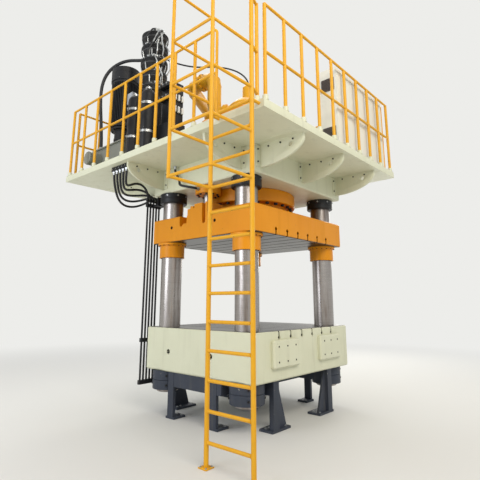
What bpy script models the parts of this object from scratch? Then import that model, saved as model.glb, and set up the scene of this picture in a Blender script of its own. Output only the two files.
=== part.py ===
# Four-column hydraulic press with a service deck, a caged ladder and its pump and valve sets.
# Metres, +Z up, the floor at z = 0. The front faces -Y, and the ladder is on the left, at -X.
# Every piece is modelled about the press axis. The last step moves the whole press so that
# the origin lies on the floor at the middle of its footprint.
import math

import bmesh
import bpy
from mathutils import Matrix, Vector

# Fits and shop values
gap = 0.0003
overrun = 0.03
sink = 0.004
weld = 0.00001
merge_distance = 0.00001

# How finely round pieces are cut
column_sides = 16
cylinder_sides = 24
small_sides = 12
bar_sides = 6

# Plan of the press, which the bed, the slide, the crown and the deck follow
frame_width = 2.36
frame_depth = 2.20

# Columns
column_radius = 0.165
column_edge_x = 0.18
column_edge_y = 0.30
column_x = frame_width / 2 - column_edge_x
column_y = frame_depth / 2 - column_edge_y

# Bed: the fixed lower table
bed_ledge = 0.02
bed_width = frame_width + 2 * bed_ledge
bed_depth = frame_depth
bed_bottom = 0.64
bed_height = 0.63
bed_edge_round = 0.018
bed_side_hole_radius = 0.04
bed_side_hole_depth = 0.14
bed_side_hole_set_in = (0.23, 0.48)
bed_side_hole_y = (column_y - bed_side_hole_set_in[0], bed_side_hole_set_in[1] - column_y)
bed_side_hole_drop = 0.345
pad_width = 0.60
pad_height = 0.355
pad_thickness = 0.06
pad_centre_x = 0.577
pad_top_drop = 0.115
pad_round = 0.02
pad_hole_radius = 0.013
pad_hole_depth = 0.035
pad_hole_pitch = 0.195

# T-slots, shared by the bed and the slide
slot_count = 6
slot_edge = 0.4925
slot_pitch = (frame_width / 2 - slot_edge) / ((slot_count - 1) / 2)
slot_mouth = 0.028
slot_depth = 0.085
slot_bore_radius = 0.028

# Column fits and nuts
bush_clearance = 0.0005
column_stick_out = 0.04
bed_nut_radius = 0.23
bed_nut_height = 0.27
bed_nut_groove = 0.012
bed_nut_groove_height = 0.01
lower_nut_radius = 0.22
lower_nut_height = 0.16
upper_nut_radius = 0.22
upper_nut_height = 0.18
nut_chamfer = 0.015

# Crown: the fixed upper head
crown_width = frame_width
crown_depth = frame_depth
crown_bottom = 3.395
crown_height = 0.625
crown_edge_round = 0.015

# Main cylinder, as wide as the return cylinders beside it allow
return_edge = 0.20
return_flange_radius = 0.20
return_x = frame_width / 2 - return_edge
flange_radius = return_x - return_flange_radius
flange_lip = 0.12
barrel_radius = flange_radius - flange_lip
barrel_wall = 0.155
barrel_top = 4.85
barrel_crown_thickness = 0.22
cylinder_bore_radius = barrel_radius - barrel_wall
cylinder_port_radius = 0.16
flange_height = 0.21
flange_chamfer = 0.02
gland_set_in = 0.14
gland_radius = flange_radius - gland_set_in
gland_height = 0.10
gland_step = 0.05
gland_lip_height = 0.035
ram_bore_clearance = 0.005
ram_radius = cylinder_bore_radius - ram_bore_clearance
ram_clearance = 0.003
ram_head_room = 0.20
ram_seat_lip = 0.06
ram_seat_radius = ram_radius + ram_seat_lip
ram_seat_height = 0.05

# Return cylinders, one at each side
return_barrel_radius = 0.12
return_barrel_height = 1.10
return_cap_thickness = 0.09
return_flange_height = 0.125
return_rod_radius = 0.07
return_rod_clearance = 0.004
return_rod_length = 1.21

# Slide: the moving platen
slide_setback = 0.02
slide_width = frame_width
slide_depth = frame_depth - 2 * slide_setback
slide_height = 0.39
daylight = 1.305
slide_edge_round = 0.015
slide_side_hole_radius = 0.028
slide_side_hole_depth = 0.10
slide_side_hole_set_in = (0.185, 0.454)
slide_side_hole_y = (column_y - slide_side_hole_set_in[0], slide_side_hole_set_in[1] - column_y)
slide_side_hole_drop = 0.163
lug_reach = 0.32
lug_front_y = -0.19
lug_back_y = 0.09
lug_height = 0.145
lug_shoulder_back_y = 0.245
lug_shoulder_height = 0.085
lug_tab_front_y = 0.115
lug_tab_back_y = 0.18
lug_tab_height = 0.12
lug_slot_y = -0.115
lug_slot_width = 0.07
lug_slot_drop = 0.14
lug_slot_reach = 0.085
side_notch_set_in = 0.375
side_notch_width = 0.17
side_notch_back_y = column_y - side_notch_set_in
side_notch_front_y = side_notch_back_y - side_notch_width
side_notch_drop = 0.13
side_notch_toe = 0.045
side_notch_reach = 0.13

# Guide bushes in the slide
bush_sleeve_radius = 0.172
bush_radius = 0.20
bush_drop = 0.235
bush_flange_radius = 0.228
bush_flange_height = 0.035

# Base frame under the bed
base_beam_height = 0.20
base_beam_width = 0.12
base_side_set_in = 0.09
base_side_x = bed_width / 2 - base_side_set_in
base_front_set_in = 0.30
base_back_set_in = 0.26
base_side_front_y = base_front_set_in - column_y
base_side_back_y = column_y - base_back_set_in
base_cross_set_in = 0.365
base_cross_y = column_y - base_cross_set_in
base_end_set_in = 0.06
base_reach_y = bed_depth / 2 - base_end_set_in
side_leg_set_in = (0.28, 0.45)
side_leg_y = (column_y - side_leg_set_in[0], side_leg_set_in[1] - column_y)
end_leg_set_in = 0.31
end_leg_x = column_x - end_leg_set_in
leg_width = 0.12
leg_depth = 0.05
leg_web_thickness = 0.03
leg_web_top_width = 0.02
leg_web_foot_width = 0.22
foot_margin = 0.03
foot_width = 0.22
foot_thickness = 0.03

# Ejector in the bed
ejector_barrel_radius = 0.165
ejector_bottom = 0.07
ejector_flange_radius = 0.185
ejector_flange_height = 0.05
ejector_rod_radius = 0.07
ejector_rod_clearance = 0.004
ejector_floor_thickness = 0.06
ejector_pad_radius = 0.11
ejector_pad_height = 0.06
ejector_pad_drop = 0.004

# Service deck round the crown
left_walkway = 0.79
right_walkway = 0.54
front_walkway = 0.79
back_walkway = 1.59
deck_left = -frame_width / 2 - left_walkway
deck_right = frame_width / 2 + right_walkway
deck_front = -frame_depth / 2 - front_walkway
deck_back = frame_depth / 2 + back_walkway
deck_bottom = 3.785
deck_thickness = 0.11
bracket_height = 0.32
bracket_thickness = 0.04
bracket_nose_share = 0.16
bracket_hole_share = 0.72
bracket_setback = 0.07
back_bracket_reach = 1.10
bracket_hole_radius = 0.035
bracket_edge_x = 0.13
bracket_edge_y = 0.25
outer_bracket_x = frame_width / 2 - bracket_edge_x
outer_bracket_y = frame_depth / 2 - bracket_edge_y
front_bracket_x = (-outer_bracket_x, 0, outer_bracket_x)
side_bracket_y = (-outer_bracket_y, outer_bracket_y)
back_bracket_x = (-outer_bracket_x, outer_bracket_x)

# Guard rails on the deck
rail_inset = 0.04
rail_height = 1.28
rail_middle_share = 0.49
rail_post_radius = 0.023
rail_bar_radius = 0.019
rail_pitch = 0.40
rail_far_pitch = 0.78
rail_bend = 0.07

# Ladder and its cage
ladder_stand_off = 0.13
ladder_set_in = 0.07
ladder_width = 0.63
ladder_gate = 0.09
ladder_x = deck_left - ladder_stand_off
ladder_front_y = deck_front + ladder_set_in
ladder_back_y = ladder_front_y + ladder_width
rail_left_end_y = ladder_back_y + ladder_gate
stile_radius = 0.026
rung_radius = 0.019
rung_pitch = 0.30
first_rung_height = 0.24
ladder_foot_size = 0.12
ladder_foot_thickness = 0.012
cage_reach = 0.62
cage_tube_radius = 0.02
cage_heights = (2.94, 3.465, 3.99, 4.515)
corner_post_set_in = 0.06
corner_post_x = deck_left + rail_inset
corner_post_y = ladder_front_y + corner_post_set_in

# Oil tank on the deck
tank_left_walkway = 0.39
tank_right_walkway = 0.52
tank_stand_off = 0.42
tank_depth = 0.98
tank_left = deck_left + tank_left_walkway
tank_right = deck_right - tank_right_walkway
tank_front = frame_depth / 2 + tank_stand_off
tank_back = tank_front + tank_depth
tank_foot_height = 0.06
tank_height = 0.47
tank_lid_thickness = 0.02
tank_lid_overhang = 0.03
tank_foot_size = 0.16
filter_radius = 0.12
filter_reach = 0.24
filter_set_in = 0.22
filter_y = tank_back - filter_set_in
filter_rise = 0.24

# Pump motors standing on the tank
first_motor_set_in = 0.25
motor_spacing = 0.71
motor_set_in_y = 0.43
motor_x = (tank_left + first_motor_set_in, tank_left + first_motor_set_in + motor_spacing)
motor_y = tank_front + motor_set_in_y
pump_foot_radius = 0.22
pump_neck_radius = 0.15
pump_height = 0.36
pump_foot_height = 0.04
motor_radius = 0.25
motor_height = 0.92
motor_fins = 10
motor_fin_depth = 0.022
motor_fin_land_share = 0.5
cowl_radius = 0.262
cowl_height = 0.26
cowl_wall = 0.012
cowl_bar_width = 0.03
terminal_box = (0.20, 0.15, 0.22)
terminal_box_share = 0.55
fan_radius = 0.20
fan_hub_radius = 0.045
fan_height = 0.08
fan_blades = 6
fan_blade_thickness = 0.012
fan_rise = 0.07
fan_blade_tilt_deg = 35
fan_shaft_radius = 0.02
shaft_clearance = 0.001

# Prefill valve and suction pipe
prefill_radius = 0.36
prefill_height = 0.34
prefill_flange_radius = 0.41
prefill_flange_height = 0.06
prefill_shoulder_share = 0.7
pilot_radius = 0.11
pilot_height = 0.33
pilot_cap_height = 0.04
suction_radius = 0.13
suction_flange_radius = 0.165
suction_port_reach = 0.42
suction_flange_thickness = 0.035
suction_bend = 0.20
suction_leg_x = -0.30
suction_leg_y = 0.58
suction_axis_share = 0.55
suction_top = 5.80
suction_drop_set_in_x = 0.40
suction_drop_set_in_y = 0.28
suction_run_y = 0.58
suction_drop_x = tank_right - suction_drop_set_in_x
suction_drop_y = tank_front + suction_drop_set_in_y
suction_turn_y = suction_drop_y - suction_run_y

# Valve manifold on the deck
manifold_stand_off = 0.07
manifold_width = 0.30
manifold_right = -frame_width / 2 - manifold_stand_off
manifold_x = (manifold_right - manifold_width, manifold_right)
manifold_y = (0.28, 1.24)
manifold_height = 0.52
tower_set_in = 0.10
tower_x = manifold_right - tower_set_in
tower_y = 1.04
tower_radius = 0.15
tower_ring_radius = 0.235
tower_top = 6.36
tower_rings = 5
tower_ring_start = 5.10
tower_ring_shares = (0.25, 0.65, 0.9)
pilot_block_y = (0.33, 0.60)
pilot_block_set_in = (0.07, 0.01)
pilot_block_x = (manifold_x[0] + pilot_block_set_in[0], manifold_x[1] - pilot_block_set_in[1])
pilot_block_height = 0.72
solenoid_size = 0.07
solenoid_reach = 0.10
solenoid_pitch = 0.21
solenoid_rows = 2
solenoid_columns = 3

# Accumulators in front of the tank
accumulator_radius = 0.11
accumulator_height = 1.16
accumulator_neck_radius = 0.05
accumulator_foot_radius = 0.14
accumulator_foot_height = 0.03
accumulator_dome_shares = (0.3, 0.65, 1)
accumulator_stand_off = 0.16
accumulator_x = manifold_x[0] - accumulator_stand_off
accumulator_places = ((accumulator_x, 0.66), (accumulator_x, 1.02))

# Electric cabinet at the front right
cabinet_set_in_x = 0.10
cabinet_set_in_y = 0.11
cabinet_width = 1.66
cabinet_right = deck_right - cabinet_set_in_x
cabinet_left = cabinet_right - cabinet_width
cabinet_front = deck_front + cabinet_set_in_y
cabinet_depth = 0.28
cabinet_height = 1.30
cabinet_wall = 0.03
cabinet_plinth = 0.36
cabinet_head = 0.06
door_thickness = 0.025
door_gap = 0.006
door_inset = 0.03
door_round_share = 0.25
handle_length = 0.16
handle_width = 0.028
handle_thickness = 0.014
handle_hub_radius = 0.018
handle_hub_length = 0.02
handle_inset = 0.07

# Hoses and pipes. A hose's route is a list of points chosen by hand between its two ends.
hose_count = 5
hose_radius = 0.019
hose_stub = 0.04
hose_header_size = 0.07
hose_header_set_in = 0.13
hose_header_x = deck_left + hose_header_set_in
hose_header_y = (0.92, 1.34)
first_hose_route = ((-1.72, 1.04, 3.55), (-1.50, 1.22, 3.48), (-1.28, 1.40, 3.44), (-1.19, 1.38, 3.43))
last_hose_route = ((-1.72, 1.46, 3.55), (-1.50, 1.67, 3.48), (-1.28, 1.77, 3.44), (-0.95, 1.60, 3.43))
riser_overhang = 0.01
riser_stand_off = 0.16
riser_first_x = -frame_width / 2 - riser_overhang
riser_pitch = 0.06
riser_y = frame_depth / 2 + riser_stand_off
riser_radius = 0.016
riser_top = 3.33
riser_bottom = 0.44
clamp_height = 0.06
clamp_thickness = 0.05
riser_crown_clamp = 3.27
riser_bed_clamp = 1.05
hanger_thickness = 0.02
hanger_lap = 0.05
feed_set_in = 0.14
feed_y = riser_y - feed_set_in
crown_hose_route = ((-1.24, 0.50, 3.68), (-1.27, 0.44, 3.58), (-1.27, 0.30, 3.47), (-1.25, 0.14, 3.38))
pilot_hose_radius = 0.014
pilot_hose_route = ((0, 0, 5.66), (-0.16, 0.12, 5.80), (-0.45, 0.35, 5.86), (-0.75, 0.65, 5.82),
                    (-0.98, 0.95, 5.95))
pump_hose_radius = 0.03
pump_hose_route = ((-1.54, 2.32, 4.60), (-1.60, 2.28, 5.30), (-1.60, 2.24, 5.85), (-1.47, 2.08, 6.08),
                   (-1.34, 1.85, 6.11), (-1.33, 1.55, 6.08))

# Round faces smoother than this angle are shaded smooth
sharp_angle_deg = 35

# Heights that follow from the sizes above
bed_top = bed_bottom + bed_height
slide_bottom = bed_top + daylight
slide_top = slide_bottom + slide_height
crown_top = crown_bottom + crown_height
deck_top = deck_bottom + deck_thickness
rail_top = deck_top + rail_height
column_bottom = bed_bottom - bed_nut_height - column_stick_out
column_top = crown_top + upper_nut_height + column_stick_out
base_top = bed_bottom - gap
lug_top = slide_top + lug_height
flange_bottom = crown_bottom - gap - flange_height
tank_bottom = deck_top + tank_foot_height
tank_top = tank_bottom + tank_height
cabinet_back = cabinet_front + cabinet_depth
cabinet_top = deck_top + gap + cabinet_height
left_column_places = {"back_left": (-1, 1), "front_left": (-1, -1)}
right_column_places = {"back_right": (1, 1), "front_right": (1, -1)}
column_places = {**left_column_places, **right_column_places}

# Colours: red, green, blue, roughness, metallic
finishes = {
    "cream_paint": (0.72, 0.75, 0.62, 0.45, 0),
    "orange_paint": (0.80, 0.40, 0.06, 0.45, 0),
    "yellow_paint": (0.82, 0.52, 0.10, 0.42, 0),
    "slate_paint": (0.09, 0.11, 0.17, 0.5, 0),
    "black_oxide": (0.02, 0.02, 0.025, 0.45, 0.6),
    "ground_steel": (0.55, 0.54, 0.52, 0.25, 1),
    "black_paint": (0.03, 0.03, 0.035, 0.4, 0),
    "hose_rubber": (0.015, 0.015, 0.015, 0.6, 0),
    "cabinet_white": (0.80, 0.80, 0.75, 0.4, 0),
    "fan_plastic": (0.05, 0.05, 0.05, 0.6, 0),
    "tank_grey": (0.30, 0.31, 0.28, 0.5, 0),
}

for old in list(bpy.data.objects):
    bpy.data.objects.remove(old)
press_collection = bpy.data.collections.new("hydraulic_press")
bpy.context.scene.collection.children.link(press_collection)


def finish_material(finish):
    """The Principled material of one finish, made the first time it is asked for."""
    if finish in bpy.data.materials:
        return bpy.data.materials[finish]
    red, green, blue, roughness, metallic = finishes[finish]
    material = bpy.data.materials.new(finish)
    material.use_nodes = True
    shader = material.node_tree.nodes["Principled BSDF"]
    shader.inputs["Base Color"].default_value = (red, green, blue, 1)
    shader.inputs["Roughness"].default_value = roughness
    shader.inputs["Metallic"].default_value = metallic
    material.diffuse_color = (red, green, blue, 1)
    return material


def new_piece(name, mesh):
    """An object of this mesh in the press collection."""
    piece = bpy.data.objects.new(name, mesh)
    press_collection.objects.link(piece)
    return piece


def piece_from_form(name, form):
    """An object made of a bmesh, which is used up."""
    mesh = bpy.data.meshes.new(name)
    form.to_mesh(mesh)
    form.free()
    return new_piece(name, mesh)


def bake(piece):
    """Apply the modifiers or the curve of a piece, and return it as a welded mesh at the origin."""
    bpy.context.view_layer.update()
    evaluated = piece.evaluated_get(bpy.context.evaluated_depsgraph_get())
    mesh = bpy.data.meshes.new_from_object(evaluated)
    mesh.transform(piece.matrix_world)
    form = bmesh.new()
    form.from_mesh(mesh)
    bmesh.ops.remove_doubles(form, verts=form.verts, dist=weld)
    bmesh.ops.recalc_face_normals(form, faces=form.faces)
    form.to_mesh(mesh)
    form.free()
    name = piece.name
    bpy.data.objects.remove(piece)
    return new_piece(name, mesh)


def box(name, first, second):
    """A box between two opposite corners, given in any order."""
    low, high = Vector(map(min, first, second)), Vector(map(max, first, second))
    form = bmesh.new()
    size = Matrix.Diagonal((*(high - low), 1))
    bmesh.ops.create_cube(form, size=1, matrix=Matrix.Translation((low + high) / 2) @ size)
    return piece_from_form(name, form)


def soft_box(name, low, high, radius):
    """A box with its edges rounded."""
    piece = box(name, low, high)
    bevel = piece.modifiers.new("edges", "BEVEL")
    bevel.width = radius
    bevel.segments = 1
    return bake(piece)


def rod(name, radius, start, end, sides=bar_sides, end_radius=None):
    """A solid round bar between two points, with flats facing along the axes."""
    start, end = Vector(start), Vector(end)
    run = end - start
    turn = run.to_track_quat("Z", "Y").to_matrix().to_4x4()
    flats_to_axes = Matrix.Rotation(math.pi / sides - math.pi / 2, 4, "Z")
    place = Matrix.Translation((start + end) / 2) @ turn @ flats_to_axes
    form = bmesh.new()
    bmesh.ops.create_cone(form, cap_ends=True, segments=sides, radius1=radius,
                          radius2=radius if end_radius is None else end_radius,
                          depth=run.length, matrix=place)
    return piece_from_form(name, form)


def placed_copies(piece, places):
    """Copies of a piece that share its mesh, one at each named place on the floor plan."""
    copies = {}
    for name, at in places.items():
        copies[name] = new_piece(name, piece.data)
        copies[name].location = (*at, 0)
    bpy.data.objects.remove(piece)
    return copies


def flat_reach(radius, sides=bar_sides):
    """How far the flats of a round bar lie from its axis."""
    return radius * math.cos(math.pi / sides)


def turned(name, profile, sides, at=(0, 0), closed=True):
    """A turned piece. Its profile is (radius, height) points that run down the outer side."""
    mesh = bpy.data.meshes.new(name)
    points = [(radius, 0, height) for radius, height in profile]
    last = len(points)
    edges = [(index, (index + 1) % last) for index in range(last if closed else last - 1)]
    mesh.from_pydata(points, edges, [])
    piece = new_piece(name, mesh)
    screw = piece.modifiers.new("turn", "SCREW")
    screw.steps = sides
    screw.render_steps = sides
    screw.use_merge_vertices = True
    screw.merge_threshold = merge_distance
    piece.rotation_euler.z = math.pi / sides
    piece.location = (*at, 0)
    return bake(piece)


def ring(name, inner, outer, low, high, sides, at=(0, 0), chamfer=0):
    """A turned ring, with a chamfer round its lower and upper outer edges."""
    if chamfer:
        profile = [(inner, high), (outer - chamfer, high), (outer, high - chamfer),
                   (outer, low + chamfer), (outer - chamfer, low), (inner, low)]
    else:
        profile = [(inner, high), (outer, high), (outer, low), (inner, low)]
    return turned(name, profile, sides, at)


def plate(name, outline, thickness, across, up, at):
    """A flat plate: a filled outline in the plane of two directions, half its thickness each way."""
    curve = bpy.data.curves.new(name, "CURVE")
    curve.dimensions = "2D"
    curve.fill_mode = "BOTH"
    curve.extrude = thickness / 2
    spline = curve.splines.new("POLY")
    spline.points.add(len(outline) - 1)
    for point, (along, height) in zip(spline.points, outline):
        point.co = (along, height, 0, 1)
    spline.use_cyclic_u = True
    across, up = Vector(across), Vector(up)
    turn = Matrix((across, up, across.cross(up))).transposed().to_4x4()
    piece = new_piece(name, curve)
    piece.matrix_world = Matrix.Translation(at) @ turn
    return bake(piece)


def tube(name, points, radius, resolution=1):
    """A round tube or hose through points, closed at its ends."""
    curve = bpy.data.curves.new(name, "CURVE")
    curve.dimensions = "3D"
    curve.bevel_depth = radius
    curve.bevel_resolution = resolution
    curve.use_fill_caps = True
    spline = curve.splines.new("POLY")
    spline.points.add(len(points) - 1)
    for point, place in zip(spline.points, points):
        point.co = (*place, 1)
    return bake(new_piece(name, curve))


def smooth_route(points, steps):
    """Points along the smooth curve that passes through the given ones."""
    points = [Vector(point) for point in points]
    ends = [points[0] * 2 - points[1]] + points + [points[-1] * 2 - points[-2]]
    route = []
    for index in range(1, len(ends) - 2):
        before, start, end, after = ends[index - 1:index + 3]
        for step in range(steps):
            t = step / steps
            route.append(0.5 * ((2 * start) + (end - before) * t
                                + (2 * before - 5 * start + 4 * end - after) * t ** 2
                                + (3 * start - before - 3 * end + after) * t ** 3))
    return route + [points[-1]]


def hose_line(start, start_way, route, end, end_way, steps=2):
    """A hose's centre line: straight where it leaves each port, and smooth between."""
    start, end = Vector(start), Vector(end)
    first = start + Vector(start_way) * hose_stub
    last = end + Vector(end_way) * hose_stub
    return [start] + smooth_route([first, *route, last], steps) + [end]


def bent_route(corners, radius, steps=3):
    """The centre line of a pipe that is straight between corners and bent round at each."""
    corners = [Vector(corner) for corner in corners]
    route = [corners[0]]
    for before, corner, after in zip(corners, corners[1:], corners[2:]):
        start = corner + (before - corner).normalized() * radius
        end = corner + (after - corner).normalized() * radius
        for step in range(steps + 1):
            t = step / steps
            route.append(start * (1 - t) ** 2 + corner * 2 * t * (1 - t) + end * t ** 2)
    return route + [corners[-1]]


def gather(name, pieces):
    """Several pieces that don't meet, as one mesh, to cut or join with in one step."""
    form = bmesh.new()
    for piece in pieces:
        form.from_mesh(piece.data)
        bpy.data.objects.remove(piece)
    return piece_from_form(name, form)


def combine(piece, others, operation):
    """Join other pieces to a piece, or cut them out of it."""
    for other in others:
        step = piece.modifiers.new(other.name, "BOOLEAN")
        step.operation = operation
        step.solver = "EXACT"
        step.object = other
    piece = bake(piece)
    for other in others:
        bpy.data.objects.remove(other)
    return piece


def joined(piece, *others):
    """The piece with other pieces welded on."""
    return combine(piece, others, "UNION")


def cut(piece, *cutters):
    """The piece with cutters taken out of it."""
    return combine(piece, cutters, "DIFFERENCE")


def bore(radius, low, high, sides, at=(0, 0)):
    """A cutter for an upright hole whose facets lie in line with those of a turned piece."""
    profile = [(0, high), (radius, high), (radius, low), (0, low)]
    return turned("bore", profile, sides, at, closed=False)


def column_holes(radius, low, high):
    """Cutters for the four column holes, as one."""
    places = [(side_x * column_x, side_y * column_y) for side_x, side_y in column_places.values()]
    return gather("holes", [bore(radius, low, high, column_sides, at) for at in places])


def slot_cutters(mouth_height, into, run):
    """Cutters for the T-slots: a mouth and a round root, cut from front to back."""
    first = -(slot_count - 1) / 2 * slot_pitch
    root = mouth_height + into * slot_depth
    outside = mouth_height - into * overrun
    half = slot_mouth / 2
    start = math.asin(half / slot_bore_radius)
    arc = [start + (2 * math.pi - 2 * start) * step / bar_sides for step in range(bar_sides + 1)]
    outline = [(half, outside)]
    outline += [(slot_bore_radius * math.sin(angle), root - into * slot_bore_radius * math.cos(angle))
                for angle in arc]
    outline += [(-half, outside)]
    return gather("slots", [
        plate("slot", outline, run + 2 * overrun, (1, 0, 0), (0, 0, 1), (first + index * slot_pitch, 0, 0))
        for index in range(slot_count)])


def side_holes(half_width, places, height, radius, depth):
    """Cutters for round blind holes in the left and right faces."""
    cutters = []
    for side in (-1, 1):
        for place in places:
            cutters.append(rod("hole", radius, (side * (half_width + overrun), place, height),
                               (side * (half_width - depth), place, height)))
    return gather("side_holes", cutters)


def make_bed():
    """The bed: a thick welded box with T-slots on top and two bolting pads on its front."""
    low = (-bed_width / 2, -bed_depth / 2, bed_bottom)
    high = (bed_width / 2, bed_depth / 2, bed_top)
    bed = soft_box("bed", low, high, bed_edge_round)
    pad_top = bed_top - pad_top_drop
    front = -bed_depth / 2
    pads = []
    holes = []
    for side in (-1, 1):
        middle = side * pad_centre_x
        pads.append(soft_box("pad", (middle - pad_width / 2, front - pad_thickness, pad_top - pad_height),
                             (middle + pad_width / 2, front + pad_thickness, pad_top), pad_round))
        for column in (-1, 0, 1):
            for row in (-1, 1):
                across = middle + column * pad_hole_pitch
                height = pad_top - pad_height / 2 + row * pad_hole_pitch / 2
                face = front - pad_thickness
                holes.append(rod("hole", pad_hole_radius, (across, face - overrun, height),
                                 (across, face + pad_hole_depth, height), bar_sides))
    bed = joined(bed, gather("pads", pads))
    pad_recess = bore(ejector_pad_radius + ejector_rod_clearance,
                      bed_top - ejector_pad_drop - ejector_pad_height - ejector_rod_clearance,
                      bed_top + overrun, column_sides)
    rod_hole = bore(ejector_rod_radius + ejector_rod_clearance, bed_bottom - overrun,
                    bed_top + overrun, column_sides)
    return cut(bed,
               column_holes(column_radius + gap, bed_bottom - overrun, bed_top + overrun),
               slot_cutters(bed_top, -1, bed_depth),
               side_holes(bed_width / 2, bed_side_hole_y, bed_top - bed_side_hole_drop,
                          bed_side_hole_radius, bed_side_hole_depth),
               gather("pad_holes", holes), pad_recess, rod_hole)


def make_columns():
    """Four ground columns that pass through the bed, the slide and the crown."""
    pieces = {}
    for place, (side_x, side_y) in column_places.items():
        at = (side_x * column_x, side_y * column_y)
        profile = [(0, column_top), (column_radius - nut_chamfer, column_top),
                   (column_radius, column_top - nut_chamfer), (column_radius, column_bottom),
                   (0, column_bottom)]
        name = f"column_{place}"
        pieces[name] = turned(name, profile, column_sides, at, closed=False)
    return pieces


def make_nuts():
    """Round split nuts: one under the bed and one on each side of the crown at every column."""
    inner = column_radius + gap
    pieces = {}
    for place, (side_x, side_y) in column_places.items():
        at = (side_x * column_x, side_y * column_y)
        top = bed_bottom - gap
        bottom = top - bed_nut_height
        split = bottom + bed_nut_height / 2
        outer = bed_nut_radius
        groove = outer - bed_nut_groove
        profile = [(inner, top), (outer, top), (outer, split + bed_nut_groove_height),
                   (groove, split), (outer, split - bed_nut_groove_height),
                   (outer, bottom), (inner, bottom)]
        pieces[f"bed_nut_{place}"] = turned(f"bed_nut_{place}", profile, column_sides, at)
        low = crown_bottom - gap - lower_nut_height
        pieces[f"crown_lower_nut_{place}"] = ring(
            f"crown_lower_nut_{place}", inner, lower_nut_radius, low, crown_bottom - gap, column_sides, at)
        low = crown_top + gap
        pieces[f"crown_upper_nut_{place}"] = ring(
            f"crown_upper_nut_{place}", inner, upper_nut_radius, low, low + upper_nut_height,
            column_sides, at)
    return pieces


def make_crown():
    """The crown: the thick upper box that carries the main and return cylinders."""
    crown = soft_box("crown", (-crown_width / 2, -crown_depth / 2, crown_bottom),
                     (crown_width / 2, crown_depth / 2, crown_top), crown_edge_round)
    low, high = crown_bottom - overrun, crown_top + overrun
    returns = [bore(return_barrel_radius + gap, low, high, small_sides, (side * return_x, 0))
               for side in (-1, 1)]
    return cut(crown, column_holes(column_radius + gap, low, high),
               bore(barrel_radius + gap, low, high, cylinder_sides), gather("returns", returns))


def make_main_cylinder():
    """The main cylinder, a deep cup hung from the crown by its lower flange."""
    cup_top = barrel_top - barrel_crown_thickness
    profile = [(cylinder_port_radius, barrel_top), (barrel_radius, barrel_top),
               (barrel_radius, crown_bottom - gap), (flange_radius - flange_chamfer, crown_bottom - gap),
               (flange_radius, crown_bottom - gap - flange_chamfer), (flange_radius, flange_bottom),
               (cylinder_bore_radius, flange_bottom), (cylinder_bore_radius, cup_top),
               (cylinder_port_radius, cup_top)]
    return turned("main_cylinder", profile, cylinder_sides)


def make_gland_ring():
    """The stepped ring that holds the ram's seals, bolted under the cylinder's flange."""
    top = flange_bottom - gap
    inner = ram_radius + ram_clearance
    profile = [(inner, top), (gland_radius, top), (gland_radius, top - gland_height + gland_lip_height),
               (gland_radius - gland_step, top - gland_height + gland_lip_height),
               (gland_radius - gland_step, top - gland_height), (inner, top - gland_height)]
    return turned("gland_ring", profile, cylinder_sides)


def make_main_ram():
    """The plunger that pushes the slide down."""
    bottom = slide_top + ram_seat_height + gap
    top = barrel_top - barrel_crown_thickness - ram_head_room
    profile = [(0, top), (ram_radius, top), (ram_radius, bottom), (0, bottom)]
    return turned("main_ram", profile, cylinder_sides, closed=False)


def make_return_cylinders():
    """The two small cylinders that lift the slide, and their rods."""
    pieces = {}
    for side_name, side in (("left", -1), ("right", 1)):
        at = (side * return_x, 0)
        flange_top = crown_bottom - gap
        bottom = flange_top - return_flange_height
        barrel_end = bottom + return_barrel_height + return_flange_height
        inner = return_rod_radius + return_rod_clearance
        profile = [(0, barrel_end), (return_barrel_radius, barrel_end), (return_barrel_radius, flange_top),
                   (return_flange_radius, flange_top), (return_flange_radius, bottom),
                   (inner, bottom), (inner, barrel_end - return_cap_thickness),
                   (0, barrel_end - return_cap_thickness)]
        name = f"return_cylinder_{side_name}"
        pieces[name] = turned(name, profile, small_sides, at, closed=False)
        foot = lug_top + gap
        profile = [(0, foot + return_rod_length), (return_rod_radius, foot + return_rod_length),
                   (return_rod_radius, foot), (0, foot)]
        name = f"return_rod_{side_name}"
        pieces[name] = turned(name, profile, small_sides, at, closed=False)
    return pieces


def lug_pieces(side):
    """The stepped lug on one side of the slide that the return rod bears on."""
    edge = side * slide_width / 2
    inner = edge - side * lug_reach
    low_x, high_x = min(edge, inner), max(edge, inner)
    base = slide_top - overrun
    steps = ((lug_front_y, lug_back_y, lug_height),
             (lug_back_y - overrun, lug_shoulder_back_y, lug_shoulder_height),
             (lug_tab_front_y, lug_tab_back_y, lug_tab_height))
    return [box("lug", (low_x, front, base), (high_x, back, slide_top + height))
            for front, back, height in steps]


def lug_cutters(side):
    """The slot in the lug's face and the notch beside it."""
    edge = side * slide_width / 2
    outside = edge + side * overrun
    slot_bottom = slide_top - lug_slot_drop
    half = lug_slot_width / 2
    arc = [math.pi * step / bar_sides for step in range(bar_sides + 1)]
    outline = [(lug_slot_y + half, lug_top + overrun)]
    outline += [(lug_slot_y + half * math.cos(angle), slot_bottom - half * math.sin(angle)) for angle in arc]
    outline += [(lug_slot_y - half, lug_top + overrun)]
    slot_inner = edge - side * lug_slot_reach
    slot = plate("slot", outline, abs(outside - slot_inner), (0, 1, 0), (0, 0, 1),
                 ((outside + slot_inner) / 2, 0, 0))
    step_y = side_notch_back_y - side_notch_toe * 2
    step_z = slide_top - side_notch_drop
    outline = [(side_notch_back_y, slide_top + overrun), (side_notch_back_y, step_z - side_notch_toe / 2),
               (side_notch_back_y - side_notch_toe, step_z - side_notch_toe), (step_y, step_z),
               (side_notch_front_y, step_z), (side_notch_front_y, slide_top + overrun)]
    notch_inner = edge - side * side_notch_reach
    notch = plate("notch", outline, abs(outside - notch_inner), (0, 1, 0), (0, 0, 1),
                  ((outside + notch_inner) / 2, 0, 0))
    return [slot, notch]


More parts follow.
